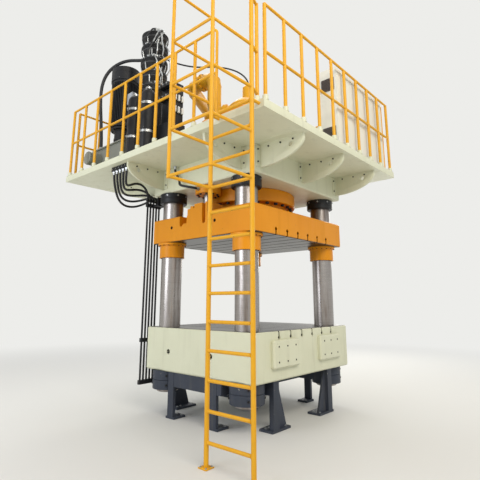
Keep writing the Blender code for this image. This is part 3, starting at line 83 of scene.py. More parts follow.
def fromForm(name, form):
    mesh = bpy.data.meshes.new(name)
    bmesh.ops.recalc_face_normals(form, faces=form.faces)
    form.to_mesh(mesh)
    form.free()
    return newObject(name, mesh)


def applied(part):
    # what the modifiers or the curve give, as a plain mesh at the origin
    bpy.context.view_layer.update()
    evaluated = part.evaluated_get(bpy.context.evaluated_depsgraph_get())
    mesh = bpy.data.meshes.new_from_object(evaluated)
    mesh.transform(part.matrix_world)
    name = part.name
    bpy.data.objects.remove(part)
    return newObject(name, mesh)


def dress(part, material, smoothAngle=32):
    part.data.materials.clear()
    part.data.materials.append(material)
    part.data.shade_smooth()
    part.data.set_sharp_from_angle(angle=math.radians(smoothAngle))
    return part


def merged(name, parts):
    # several parts as one piece that keeps each one's material
    form = bmesh.new()
    materials = []
    for part in parts:
        count = len(form.faces)
        form.from_mesh(part.data)
        form.faces.ensure_lookup_table()
        own = [slot.material for slot in part.material_slots] or [None]
        for material in own:
            if material not in materials:
                materials.append(material)
        for face in form.faces[count:]:
            face.material_index = materials.index(own[min(face.material_index, len(own) - 1)])
    mesh = bpy.data.meshes.new(name)
    form.to_mesh(mesh)
    form.free()
    for part in parts:
        bpy.data.objects.remove(part)
    for material in materials:
        mesh.materials.append(material)
    return newObject(name, mesh)


def settle(piece, body, slotName, *replaced):
    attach(piece, body)
    if replaced:
        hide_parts(*replaced)
    return piece


def build(name, pieces, body, slotName, *replaced):
    return settle(merged(name, pieces), body, slotName, *replaced)


def rise(height):
    return Vector((0, 0, height))


def spoke(angle):
    # the way out from an upright axis
    return Vector((math.cos(angle), math.sin(angle), 0))


def evenAngles(count, start=0.0):
    return [start + 2 * math.pi * i / count for i in range(count)]


def disc(radius, top, low, edge, inner=0.0):
    # lathe points of a disc or a ring with both its outer edges broken
    return [(inner, top), (radius - edge, top), (radius, top - edge), (radius, low + edge),
            (radius - edge, low), (inner, low)]


def turned(name, profile, place, material, segments=64, axis=(0, 0, 1)):
    # a lathe piece: (radius, height) points from the top down the outside
    turn = Vector(axis).to_track_quat("Z", "Y").to_matrix()
    place = Vector(place)
    form = bmesh.new()
    rings = []
    for radius, height in profile:
        if radius < 1e-6:
            rings.append([form.verts.new(place + turn @ Vector((0, 0, height)))])
            continue
        rings.append([form.verts.new(place + turn @ (spoke(angle) * radius + rise(height)))
                      for angle in evenAngles(segments)])
    pairs = list(zip(rings, rings[1:]))
    if profile[0][0] > 1e-6 and profile[-1][0] > 1e-6:
        pairs.append((rings[-1], rings[0]))
    for upper, lower in pairs:
        for i in range(segments):
            j = (i + 1) % segments
            if len(upper) == 1 and len(lower) > 1:
                form.faces.new((upper[0], lower[i], lower[j]))
            elif len(lower) == 1 and len(upper) > 1:
                form.faces.new((upper[i], lower[0], upper[j]))
            elif len(upper) > 1:
                form.faces.new((upper[i], lower[i], lower[j], upper[j]))
    return dress(fromForm(name, form), material)


def block(name, low, high, material, soften=0.004, segments=2):
    # a box between two corners with softened edges
    low, high = Vector(map(min, low, high)), Vector(map(max, low, high))
    form = bmesh.new()
    size = Matrix.Diagonal((*(high - low), 1))
    bmesh.ops.create_cube(form, size=1, matrix=Matrix.Translation((low + high) / 2) @ size)
    if soften:
        bmesh.ops.bevel(form, geom=form.edges[:], offset=soften, segments=segments, profile=0.5,
                        affect="EDGES")
    return dress(fromForm(name, form), material)


def slab(name, outlines, thickness, across, up, origin, material, soften=0.0):
    # a flat plate from closed outlines, the first the edge and the rest its holes
    curve = bpy.data.curves.new(name, "CURVE")
    curve.dimensions = "2D"
    curve.fill_mode = "BOTH"
    curve.extrude = thickness / 2 - soften
    curve.bevel_depth = soften
    curve.bevel_resolution = 1
    for outline in outlines:
        spline = curve.splines.new("POLY")
        spline.points.add(len(outline) - 1)
        for point, (x, y) in zip(spline.points, outline):
            point.co = (x, y, 0, 1)
        spline.use_cyclic_u = True
    part = applied(newObject(name, curve))
    across, up = Vector(across), Vector(up)
    turn = Matrix((across, up, across.cross(up))).transposed().to_4x4()
    part.data.transform(Matrix.Translation(origin) @ turn)
    form = bmesh.new()
    form.from_mesh(part.data)
    bmesh.ops.remove_doubles(form, verts=form.verts, dist=1e-5)
    bmesh.ops.recalc_face_normals(form, faces=form.faces)
    form.to_mesh(part.data)
    form.free()
    return dress(part, material)


def circle(x, y, radius, count):
    return [(x + radius * math.cos(angle), y + radius * math.sin(angle)) for angle in evenAngles(count)]


# ---- finishes
# Object coordinates are metres, so a pattern's scale is one over its size in metres.
def surfaceTree(name, rough, metal=0.0):
    material = bpy.data.materials.new(name)
    material.use_nodes = True
    tree = material.node_tree
    shader = tree.nodes["Principled BSDF"]
    shader.inputs["Roughness"].default_value = rough
    shader.inputs["Metallic"].default_value = metal
    where = addNode(tree, "ShaderNodeTexCoord").outputs["Object"]
    return material, tree, shader, where


def enamel(name, paint, deep, grime, primer, rough=0.4, dirt=0.35, chips=0.70, peel=0.012, runs=True):
    # sprayed enamel on steel: even colour, faint cloudiness, runs of grime, a few chips down to primer
    material, tree, shader, where = surfaceTree(name, rough)
    shader.inputs["Specular IOR Level"].default_value = 0.26
    cloud = addNode(tree, "ShaderNodeTexNoise", None,
                    {"Vector": where, "Scale": 1.6, "Detail": 4, "Roughness": 0.6})  # clouds of about 0.6 m
    body = addNode(tree, "ShaderNodeMix", {"data_type": "RGBA"},
                   {"Factor": cloud.outputs["Fac"], 6: srgb(deep), 7: srgb(paint)})
    stretch = addNode(tree, "ShaderNodeMapping", None,
                      {"Vector": where, "Scale": (9, 9, 0.9 if runs else 9)})  # 110 mm wide runs
    streak = addNode(tree, "ShaderNodeTexNoise", None,
                     {"Vector": stretch.outputs["Vector"], "Scale": 1, "Detail": 6, "Roughness": 0.62})
    streakMask = addNode(tree, "ShaderNodeMapRange", {"interpolation_type": "SMOOTHSTEP"},
                         {"Value": streak.outputs["Fac"], "From Min": 0.5, "From Max": 0.82,
                          "To Min": 0.0, "To Max": dirt})
    soiled = addNode(tree, "ShaderNodeMix", {"data_type": "RGBA"},
                     {"Factor": streakMask.outputs["Result"], 6: body.outputs[2], 7: srgb(grime)})
    fleck = addNode(tree, "ShaderNodeTexNoise", None,
                    {"Vector": where, "Scale": 26, "Detail": 3, "Roughness": 0.55})  # chips up to 40 mm
    chipMask = addNode(tree, "ShaderNodeMapRange", {"interpolation_type": "SMOOTHSTEP"},
                       {"Value": fleck.outputs["Fac"], "From Min": chips, "From Max": chips + 0.03})
    final = addNode(tree, "ShaderNodeMix", {"data_type": "RGBA"},
                    {"Factor": chipMask.outputs["Result"], 6: soiled.outputs[2], 7: srgb(primer)})
    tree.links.new(final.outputs[2], shader.inputs["Base Color"])
    shine = addNode(tree, "ShaderNodeMapRange", None,
                    {"Value": streak.outputs["Fac"], "From Min": 0.3, "From Max": 0.8,
                     "To Min": rough - 0.07, "To Max": rough + 0.16})
    tree.links.new(shine.outputs["Result"], shader.inputs["Roughness"])
    # orange peel is 3 mm across in life and drawn four times as coarse, so that it shows
    skin = addNode(tree, "ShaderNodeTexNoise", None, {"Vector": where, "Scale": 1 / peel, "Detail": 2})
    bump = addNode(tree, "ShaderNodeBump", None,
                   {"Height": skin.outputs["Fac"], "Strength": 0.06, "Distance": 0.002})
    tree.links.new(bump.outputs["Normal"], shader.inputs["Normal"])
    return material


def bareSteel(name, bright, dark, stain, rough, marks, film, stainAmount):
    # cut steel: fine tool marks one way, and an oil film that has dried in bands
    material, tree, shader, where = surfaceTree(name, rough, 1.0)
    grain = addNode(tree, "ShaderNodeMapping", None, {"Vector": where, "Scale": marks})
    lines = addNode(tree, "ShaderNodeTexNoise", None,
                    {"Vector": grain.outputs["Vector"], "Scale": 1, "Detail": 3, "Roughness": 0.7})
    tone = addNode(tree, "ShaderNodeMix", {"data_type": "RGBA"},
                   {"Factor": lines.outputs["Fac"], 6: srgb(dark), 7: srgb(bright)})
    band = addNode(tree, "ShaderNodeMapping", None, {"Vector": where, "Scale": film})
    oil = addNode(tree, "ShaderNodeTexNoise", None,
                  {"Vector": band.outputs["Vector"], "Scale": 1, "Detail": 7, "Roughness": 0.66})
    oilMask = addNode(tree, "ShaderNodeMapRange", {"interpolation_type": "SMOOTHSTEP"},
                      {"Value": oil.outputs["Fac"], "From Min": 0.44, "From Max": 0.66,
                       "To Min": 0.0, "To Max": stainAmount})
    final = addNode(tree, "ShaderNodeMix", {"data_type": "RGBA"},
                    {"Factor": oilMask.outputs["Result"], 6: tone.outputs[2], 7: srgb(stain)})
    tree.links.new(final.outputs[2], shader.inputs["Base Color"])
    shine = addNode(tree, "ShaderNodeMapRange", None,
                    {"Value": oil.outputs["Fac"], "From Min": 0.35, "From Max": 0.7,
                     "To Min": rough, "To Max": rough + 0.22})
    tree.links.new(shine.outputs["Result"], shader.inputs["Roughness"])
    bump = addNode(tree, "ShaderNodeBump", None,
                   {"Height": lines.outputs["Fac"], "Strength": 0.12, "Distance": 0.001})
    tree.links.new(bump.outputs["Normal"], shader.inputs["Normal"])
    return material


def plain(name, colour, worn, rough, metal=0.0, size=0.02, strength=0.1):
    # moulded, plated or cast parts: two close tones and a fine grain
    material, tree, shader, where = surfaceTree(name, rough, metal)
    grain = addNode(tree, "ShaderNodeTexNoise", None,
                    {"Vector": where, "Scale": 1 / size, "Detail": 5, "Roughness": 0.6})
    tone = addNode(tree, "ShaderNodeMix", {"data_type": "RGBA"},
                   {"Factor": grain.outputs["Fac"], 6: srgb(worn), 7: srgb(colour)})
    tree.links.new(tone.outputs[2], shader.inputs["Base Color"])
    shine = addNode(tree, "ShaderNodeMapRange", None,
                    {"Value": grain.outputs["Fac"], "To Min": rough + 0.1, "To Max": rough - 0.06})
    tree.links.new(shine.outputs["Result"], shader.inputs["Roughness"])
    bump = addNode(tree, "ShaderNodeBump", None,
                   {"Height": grain.outputs["Fac"], "Strength": strength, "Distance": 0.002})
    tree.links.new(bump.outputs["Normal"], shader.inputs["Normal"])
    return material


def withBareFace(name, painted, bare, level, above, slotReach, walls):
    # a painted casting with one face cut bare, and its slots too up to a little way behind the outer walls
    material = painted.copy()
    material.name = name
    tree = material.node_tree
    shader = tree.nodes["Principled BSDF"]
    where = next(node for node in tree.nodes if node.type == "TEX_COORD").outputs["Object"]
    axes = addNode(tree, "ShaderNodeSeparateXYZ", None, {"Vector": where}).outputs

    def passes(value, limit, more):
        return addNode(tree, "ShaderNodeMath", {"operation": "GREATER_THAN" if more else "LESS_THAN"},
                       {0: value, 1: limit}).outputs[0]

    def both(first, second):
        return addNode(tree, "ShaderNodeMath", {"operation": "MULTIPLY"}, {0: first, 1: second}).outputs[0]

    face = passes(axes["Z"], level, above)
    inside = passes(axes["Z"], level - slotReach if above else level + slotReach, above)
    for axisName, (low, high) in walls.items():
        inside = both(inside, both(passes(axes[axisName], low, True), passes(axes[axisName], high, False)))
    mask = addNode(tree, "ShaderNodeMath", {"operation": "MAXIMUM"}, {0: face, 1: inside}).outputs[0]
    marks = addNode(tree, "ShaderNodeMapping", None,
                    {"Vector": where, "Scale": (180, 4, 4)})  # milling lines 6 mm apart
    lines = addNode(tree, "ShaderNodeTexNoise", None,
                    {"Vector": marks.outputs["Vector"], "Scale": 1, "Detail": 3})
    pool = addNode(tree, "ShaderNodeTexNoise", None, {"Vector": where, "Scale": 3.2, "Detail": 5})
    metal = addNode(tree, "ShaderNodeMix", {"data_type": "RGBA"},
                    {"Factor": both(lines.outputs["Fac"], pool.outputs["Fac"]), 6: srgb(bare[0]),
                     7: srgb(bare[1])})
    painting, gloss = (shader.inputs[key].links[0].from_socket for key in ("Base Color", "Roughness"))
    colour = addNode(tree, "ShaderNodeMix", {"data_type": "RGBA"},
                     {"Factor": mask, 6: painting, 7: metal.outputs[2]})
    shine = addNode(tree, "ShaderNodeMix", None, {"Factor": mask, 2: gloss, 3: 0.34})
    tree.links.new(colour.outputs[2], shader.inputs["Base Color"])
    tree.links.new(shine.outputs[0], shader.inputs["Roughness"])
    tree.links.new(mask, shader.inputs["Metallic"])
    return material


def wallsOf(nodeName, margin):
    low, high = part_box(nodeName)
    return {"X": (low[0] + margin, high[0] - margin), "Y": (low[1] + margin, high[1] - margin)}


creamEnamel = enamel("creamEnamel", "#DADBC2", "#CDCEB3", "#8A8670", "#A39C80", 0.40, 0.20, 0.735)
orangeEnamel = enamel("orangeEnamel", "#DE9210", "#D08209", "#86581C", "#6E4A20", 0.38, 0.14, 0.735)
yellowEnamel = enamel("yellowEnamel", "#E2A926", "#D5991C", "#946A22", "#7C5C2A", 0.36, 0.24, 0.715,
                      runs=False)
slateEnamel = enamel("slateEnamel", "#3D4350", "#31363F", "#6E6A60", "#8A8880", 0.44, 0.45, 0.71)
blackEnamel = enamel("blackEnamel", "#26272A", "#1B1C1F", "#5C5850", "#6A6862", 0.42, 0.35, 0.73)
tankEnamel = enamel("tankEnamel", "#8E9187", "#80837A", "#55534A", "#6A675C", 0.46, 0.35, 0.73)
powderCoat = enamel("powderCoat", "#E4E4DA", "#DADBD0", "#A3A294", "#B8B5A6", 0.44, 0.18, 0.76, 0.02)
groundSteel = bareSteel("groundSteel", "#B9B4B0", "#7E7976", "#59463A", 0.22, (3, 3, 220), (7, 7, 0.7), 0.62)
blackedSteel = plain("blackedSteel", "#1E1F21", "#303133", 0.42, 0.6, 0.012)
zincPlate = plain("zincPlate", "#C2C4C4", "#9DA0A0", 0.32, 0.9, 0.01)
castBlack = plain("castBlack", "#1C1D1F", "#2B2C2E", 0.55, 0, 0.008, 0.3)
hoseRubber = plain("hoseRubber", "#17181A", "#26272A", 0.58, 0, 0.006, 0.35)
mouldedBlack = plain("mouldedBlack", "#1B1B1D", "#252527", 0.5, 0, 0.01)
mouldedGrey = plain("mouldedGrey", "#B7BCC2", "#A2A8AF", 0.45, 0, 0.01)
mouldedWhite = plain("mouldedWhite", "#E8E9E6", "#D5D7D3", 0.45, 0, 0.01)
ventGrey = plain("ventGrey", "#5E5652", "#4C4643", 0.5, 0, 0.02)
bareFaces = {"bed": {"level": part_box("bed")[1][2] - 0.004, "slots": 0.095, "wall": 0.075,
                     "metal": ("#1F1B18", "#6A6058")},
             "slide": {"level": 2.577, "slots": 0.09, "wall": 0.008, "metal": ("#2B2825", "#8C867A")}}
table, press = bareFaces["bed"], bareFaces["slide"]
bedFinish = withBareFace("creamEnamelOverBareTable", creamEnamel, table["metal"], table["level"], True,
                         table["slots"], wallsOf("bed", table["wall"]))
slideFinish = withBareFace("orangeEnamelOverBareFace", orangeEnamel, press["metal"], press["level"], False,
                           press["slots"], wallsOf("slide", press["wall"]))
print("finishes ready")

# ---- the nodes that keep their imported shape
nodeFinishes = {
    "bed": bedFinish, "slide": slideFinish, "crown": creamEnamel, "base_frame": slateEnamel,
    "oil_tank": tankEnamel, "cabinet": powderCoat, "cabinet_door_left": powderCoat,
    "cabinet_door_right": powderCoat, "door_handle_left": blackedSteel, "door_handle_right": blackedSteel,
    "motor_fan_1": mouldedBlack, "motor_fan_2": mouldedBlack, "ejector_cylinder": slateEnamel,
    "ejector_rod": groundSteel, "riser_pipes": blackEnamel,
}
for nodeName, material in nodeFinishes.items():
    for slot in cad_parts[nodeName].material_slots:
        slot.material = material
print("packed nodes finished:", len(nodeFinishes))


# ---- round bar frames: a tree sweeps a circle along every drawn line
def barTree():
    tree = bpy.data.node_groups.new("roundBar", "GeometryNodeTree")
    face = tree.interface
    face.new_socket("Geometry", in_out="INPUT", socket_type="NodeSocketGeometry")
    for name, default in (("Radius", 0.02), ("Bend", 0.0)):
        face.new_socket(name, in_out="INPUT", socket_type="NodeSocketFloat").default_value = default
    face.new_socket("Sides", in_out="INPUT", socket_type="NodeSocketInt").default_value = 16
    face.new_socket("Material", in_out="INPUT", socket_type="NodeSocketMaterial")
    face.new_socket("Geometry", in_out="OUTPUT", socket_type="NodeSocketGeometry")
    entry = addNode(tree, "NodeGroupInput").outputs
    lines = addNode(tree, "GeometryNodeMeshToCurve", None, {"Mesh": entry["Geometry"]})
    bent = addNode(tree, "GeometryNodeFilletCurve", {"mode": "POLY"},
                   {"Curve": lines.outputs["Curve"], "Count": 6, "Radius": entry["Bend"],
                    "Limit Radius": True})
    ring = addNode(tree, "GeometryNodeCurvePrimitiveCircle", None,
                   {"Resolution": entry["Sides"], "Radius": entry["Radius"]})
    sweep = addNode(tree, "GeometryNodeCurveToMesh", None,
                    {"Curve": bent.outputs["Curve"], "Profile Curve": ring.outputs["Curve"],
                     "Fill Caps": True})
    whole = addNode(tree, "GeometryNodeRealizeInstances", None, {"Geometry": sweep.outputs["Mesh"]})
    painted = addNode(tree, "GeometryNodeSetMaterial", None,
                      {"Geometry": whole.outputs["Geometry"], "Material": entry["Material"]})
    addNode(tree, "NodeGroupOutput", None, {"Geometry": painted.outputs["Geometry"]})
    return tree


def withTree(part, tree, values):
    # set a tree's inputs by their sockets' identifiers, then keep what it makes
    modifier = part.modifiers.new(tree.name, "NODES")
    modifier.node_group = tree
    for item in tree.interface.items_tree:
        if item.in_out == "INPUT" and item.name in values:
            modifier[item.identifier] = values[item.name]
    return applied(part)


roundBar = barTree()


def bars(name, lines, radius, material, bend=0.0, sides=16):
    mesh = bpy.data.meshes.new(name)
    points, edges = [], []
    for line in lines:
        first = len(points)
        points += [tuple(point) for point in line]
        edges += [(first + i, first + i + 1) for i in range(len(line) - 1)]
    mesh.from_pydata(points, edges, [])
    part = withTree(newObject(name, mesh), roundBar,
                    {"Radius": radius, "Bend": bend, "Sides": sides, "Material": material})
    return dress(part, material)


# ---- bolts: a tree sets a modelled head on every marked point
def headMesh(style):
    # a head 1 m across that stands on z = 0
    form = bmesh.new()

    def ringAt(radius, height, count):
        return [form.verts.new(spoke(angle) * radius + rise(height)) for angle in evenAngles(count)]

    def skin(lower, upper):
        for i in range(len(lower)):
            j = (i + 1) % len(lower)
            form.faces.new((lower[i], lower[j], upper[j], upper[i]))

    def stacked(rings):
        for lower, upper in zip(rings, rings[1:]):
            skin(lower, upper)
        form.faces.new(reversed(rings[0]))
        form.faces.new(rings[-1])

    if style == "hex":
        stacked([ringAt(0.66, 0, 16), ringAt(0.66, 0.09, 16), ringAt(0.5, 0.09, 16)])
        stacked([ringAt(0.55, 0.08, 6), ringAt(0.55, 0.38, 6), ringAt(0.42, 0.46, 6)])
    elif style in ("lozenge", "crossLozenge"):
        turn = math.pi / 4 if style == "lozenge" else -math.pi / 4
        corners = [(0.5, 0), (0, 0.17), (-0.5, 0), (0, -0.17)]
        rings = [[form.verts.new((s * (x * math.cos(turn) - y * math.sin(turn)),
                                  s * (x * math.sin(turn) + y * math.cos(turn)), height))
                  for x, y in corners]
                 for s, height in ((1, 0), (0.55, 0.07))]
        stacked(rings)
    else:
        stacked([ringAt(0.5, -0.02, 18), ringAt(0.5, 0.44, 18), ringAt(0.44, 0.5, 18), ringAt(0.27, 0.5, 18),
                 ringAt(0.27, 0.2, 18)])
    mesh = bpy.data.meshes.new(style + "Head")
    form.to_mesh(mesh)
    form.free()
    return mesh


heads = {style: newObject(style + "Head", headMesh(style))
         for style in ("hex", "socket", "lozenge", "crossLozenge")}


def boltTree():
    tree = bpy.data.node_groups.new("boltHeads", "GeometryNodeTree")
    face = tree.interface
    face.new_socket("Geometry", in_out="INPUT", socket_type="NodeSocketGeometry")
    face.new_socket("Head", in_out="INPUT", socket_type="NodeSocketObject")
    face.new_socket("Size", in_out="INPUT", socket_type="NodeSocketFloat").default_value = 0.03
    face.new_socket("Seed", in_out="INPUT", socket_type="NodeSocketInt").default_value = 3
    face.new_socket("Spin", in_out="INPUT", socket_type="NodeSocketFloat").default_value = 1.0
    face.new_socket("Material", in_out="INPUT", socket_type="NodeSocketMaterial")
    face.new_socket("Geometry", in_out="OUTPUT", socket_type="NodeSocketGeometry")
    entry = addNode(tree, "NodeGroupInput").outputs
    marks = addNode(tree, "GeometryNodeMeshToPoints", None, {"Mesh": entry["Geometry"]})
    way = addNode(tree, "GeometryNodeInputNamedAttribute", {"data_type": "FLOAT_VECTOR"}, {"Name": "way"})
    facing = addNode(tree, "FunctionNodeAlignRotationToVector", {"axis": "Z"},
                     {"Vector": way.outputs["Attribute"]})
    head = addNode(tree, "GeometryNodeObjectInfo", None, {"Object": entry["Head"]})
    standing = addNode(tree, "GeometryNodeInstanceOnPoints", None,
                       {"Points": marks.outputs["Points"], "Instance": head.outputs["Geometry"],
                        "Rotation": facing.outputs["Rotation"], "Scale": entry["Size"]})
    spin = addNode(tree, "FunctionNodeRandomValue", {"data_type": "FLOAT"},
                   {2: 0.0, 3: entry["Spin"], "Seed": entry["Seed"]})
    angle = addNode(tree, "ShaderNodeCombineXYZ", None, {"Z": spin.outputs[1]})
    spun = addNode(tree, "GeometryNodeRotateInstances", None,
                   {"Instances": standing.outputs["Instances"], "Rotation": angle.outputs["Vector"],
                    "Local Space": True})
    whole = addNode(tree, "GeometryNodeRealizeInstances", None, {"Geometry": spun.outputs["Instances"]})
    painted = addNode(tree, "GeometryNodeSetMaterial", None,
                      {"Geometry": whole.outputs["Geometry"], "Material": entry["Material"]})
    addNode(tree, "NodeGroupOutput", None, {"Geometry": painted.outputs["Geometry"]})
    return tree


boltHeads = boltTree()


def bolts(name, marks, size, material, style="hex", seed=3, spin=1.05):
    # marks are (place, outward way) pairs, and spin is the most that a head is turned about its axis
    mesh = bpy.data.meshes.new(name)
    mesh.from_pydata([tuple(place) for place, way in marks], [], [])
    layer = mesh.attributes.new("way", "FLOAT_VECTOR", "POINT")
    for item, (place, way) in zip(layer.data, marks):
        item.vector = Vector(way)
    part = withTree(newObject(name, mesh), boltHeads,
                    {"Head": heads[style], "Size": size, "Seed": seed, "Spin": spin, "Material": material})
    return dress(part, material, 28)


def boltCircle(centre, radius, count, way=(0, 0, 1), start=0.0):
    turn = Vector(way).to_track_quat("Z", "Y").to_matrix()
    return [(centre + turn @ (spoke(angle) * radius), way) for angle in evenAngles(count, start)]


def radialMarks(centre, radius, count, start):
    # marks round an upright axis that face away from it
    return [(centre + spoke(angle) * radius, spoke(angle)) for angle in evenAngles(count, start)]


upward, downward, frontward, leftward = (0, 0, 1), (0, 0, -1), (0, -1, 0), (-1, 0, 0)


# ---- columns, bushes and nuts
columnSizes = {"x": 1.00, "y": 0.80, "radius": 0.165, "bottom": 0.33, "top": 4.24, "chamfer": 0.012,
               "sides": 72, "threads": 9, "threadPitch": 0.0045, "threadEnd": 4.19}
bushSizes = {"slip": 0.0006, "shank": 0.1718, "top": 2.9648, "flange": 0.2281, "flangeTop": 2.5747,
             "flangeLow": 2.5397, "edge": 0.003, "sleeve": 0.1975, "nose": 0.182, "low": 2.34, "bolts": 16,
             "boltCircle": 0.2145}
bedNutSizes = {"radius": 0.23, "low": 0.3697, "high": 0.6397, "clamps": 4, "clampStep": 0.066}
crownNutSizes = {"radius": 0.22, "edge": 0.008, "screws": 8, "screwRise": 0.04,
                 "levels": {"lower": (3.2347, 3.3947), "upper": (4.0203, 4.2003)}}
columnPlaces = {"back_left": (-1, 1), "front_left": (-1, -1), "back_right": (1, 1), "front_right": (1, -1)}
boreRadius = columnSizes["radius"] + bushSizes["slip"]


def shownColumn(name, foot):
    radius, top, bottom, chamfer = (columnSizes[key] for key in ("radius", "top", "bottom", "chamfer"))
    skin, threads = radius - 0.0002, []
    for i in range(columnSizes["threads"]):  # the crown end carries coarse thread turns above its nut
        z = top - 0.006 - i * columnSizes["threadPitch"]
        threads += [(radius - 0.004, z), (radius - 0.0006, z - 0.0022)]
    profile = [(0, top), (radius - chamfer, top)] + threads
    profile += [(skin, columnSizes["threadEnd"]), (skin, bottom + chamfer), (radius - chamfer, bottom),
                (0, bottom)]
    return turned(name, profile, foot, groundSteel, columnSizes["sides"])


def guideBush(foot):
    top, lip, face, under, low = (bushSizes[key]
                                  for key in ("top", "flange", "flangeTop", "flangeLow", "low"))
    shank, sleeve, edge, nose = (bushSizes[key] for key in ("shank", "sleeve", "edge", "nose"))
    profile = [(boreRadius, top), (shank, top), (shank, face), (lip - edge, face), (lip, face - edge),
               (lip, under + edge), (lip - edge, under), (sleeve + edge, under), (sleeve, under - 0.004),
               (sleeve, low + 0.012), (sleeve + edge, low + 0.009), (sleeve + edge, low + 0.003),
               (sleeve, low), (nose, low), (nose - 0.006, low + 0.006), (boreRadius, low + 0.006)]
    wiper = [(boreRadius, low + 0.0055), (nose - 0.0065, low + 0.0055), (nose - 0.0065, low + 0.0005),
             (boreRadius, low + 0.0005)]
    marks = boltCircle(foot + rise(under), bushSizes["boltCircle"], bushSizes["bolts"], downward,
                       math.pi / bushSizes["bolts"])
    return [turned("bush", profile, foot, orangeEnamel, columnSizes["sides"]),
            turned("wiper", wiper, foot, hoseRubber, columnSizes["sides"]),
            bolts("bushBolts", marks, 0.018, blackedSteel, "socket")]


def bedNut(foot):
    # two nuts locked against each other, with a groove where they meet
    radius, low, high = bedNutSizes["radius"], bedNutSizes["low"], bedNutSizes["high"]
    split = (low + high) / 2
    profile = [(boreRadius, high), (radius - 0.004, high), (radius, high - 0.004), (radius, split + 0.006),
               (radius - 0.004, split + 0.002), (radius - 0.011, split + 0.001),
               (radius - 0.011, split - 0.001), (radius - 0.004, split - 0.002), (radius, split - 0.006),
               (radius, low + 0.004), (radius - 0.004, low), (boreRadius, low)]
    marks = []
    for level in (split + bedNutSizes["clampStep"], split - bedNutSizes["clampStep"]):
        marks += radialMarks(foot + rise(level), radius - 0.0008, bedNutSizes["clamps"], math.pi / 4)
    return [turned("nutStack", profile, foot, slateEnamel, columnSizes["sides"]),
            bolts("clampBolts", marks, 0.03, blackedSteel, "socket")]


def crownNut(foot, low, high):
    radius, edge, middle = crownNutSizes["radius"], crownNutSizes["edge"], (low + high) / 2
    profile = [(boreRadius, high), (radius - edge, high), (radius, high - edge), (radius, middle + 0.004),
               (radius - 0.004, middle), (radius, middle - 0.004), (radius, low + edge),
               (radius - edge, low), (boreRadius, low)]
    marks = radialMarks(foot + rise(middle + crownNutSizes["screwRise"]), radius - 0.0007,
                        crownNutSizes["screws"], math.pi / crownNutSizes["screws"])
    return [turned("nut", profile, foot, blackedSteel, columnSizes["sides"]),
            bolts("nutScrews", marks, 0.026, zincPlate, "socket")]


for place, (sideX, sideY) in columnPlaces.items():
    foot = at(sideX * columnSizes["x"], sideY * columnSizes["y"], 0)
    settle(shownColumn("shownColumn_" + place, foot), "press", "ground_steel", "column_" + place)
    build("guideBush_" + place, guideBush(foot), "slide_group", "orange_paint", "guide_bush_" + place)
    build("bedNut_" + place, bedNut(foot), "press", "slate_paint", "bed_nut_" + place)
    for level, (low, high) in crownNutSizes["levels"].items():
        build("crownNut_%s_%s" % (level, place), crownNut(foot, low, high), "press", "black_oxide",
              "crown_%s_nut_%s" % (level, place))
print("columns, bushes and nuts ready")

# ---- main cylinder, gland, ram and return cylinders
mainCylinder = {"barrel": 0.66, "bore": 0.505, "port": 0.16, "flange": 0.78, "top": 4.85, "groove": 4.70,
                "seat": 3.3945, "low": 3.1849, "floor": 4.63, "edge": 0.02, "grooveDepth": 0.008,
                "grooveWidth": 0.012, "flangeEdges": ((0.015, 0.0155), (0.01, 0.0101)), "sides": 96}
mainBolts = {"flange": (0.71, 28, 0.058), "lid": (0.53, 20, 0.05)}  # radius of the circle, number and head
glandSizes = {"bore": 0.5032, "radius": 0.64, "edge": 0.004, "top": 3.1846, "low": 3.1196, "lip": 0.59,
              "lipLow": 3.0847, "bolts": 30, "boltCircle": 0.616}
ramSizes = {"radius": 0.4998, "top": 4.43, "low": 3.0153}
returnCylinder = {"x": 0.98, "barrel": 0.12, "bore": 0.074, "port": 0, "flange": 0.2, "top": 4.4945,
                  "groove": 4.40, "seat": 3.3946, "low": 3.27, "floor": 4.40, "edge": 0.015,
                  "grooveDepth": 0.007, "grooveWidth": 0.014,
                  "flangeEdges": ((0.006, 0.006), (0.006, 0.006)), "sides": 64}
returnRod = {"radius": 0.0699, "top": 4.3203, "low": 3.1103}


def cylinderShell(sizes, foot):
    barrel, flange, top, groove = (sizes[key] for key in ("barrel", "flange", "top", "groove"))
    port, bore, seat, low, floorLevel = (sizes[key] for key in ("port", "bore", "seat", "low", "floor"))
    edge, depth, width = (sizes[key] for key in ("edge", "grooveDepth", "grooveWidth"))
    (seatIn, seatDown), (lowIn, lowUp) = sizes["flangeEdges"]
    profile = [(port, top), (barrel - edge, top), (barrel, top - edge), (barrel, groove),
               (barrel - depth, groove - 0.006), (barrel - depth, groove - 0.006 - width),
               (barrel, groove - 0.012 - width), (barrel, seat), (flange - seatIn, seat),
               (flange, seat - seatDown), (flange, low + lowUp), (flange - lowIn, low), (bore, low),
               (bore, floorLevel), (port, floorLevel)]
    return turned("cylinderShell", profile, foot, orangeEnamel, sizes["sides"])


axis = at(0, 0, 0)
circleRadius, count, head = mainBolts["flange"]
flangeMarks = boltCircle(axis + rise(mainCylinder["low"]), circleRadius, count, downward)
pieces = [cylinderShell(mainCylinder, axis), bolts("flangeBolts", flangeMarks, head, blackedSteel, "socket")]
circleRadius, count, head = mainBolts["lid"]
lidMarks = boltCircle(axis + rise(mainCylinder["top"]), circleRadius, count)
pieces.append(bolts("lidBolts", lidMarks, head, blackedSteel))
build("mainCylinder", pieces, "press", "orange_paint", "main_cylinder")

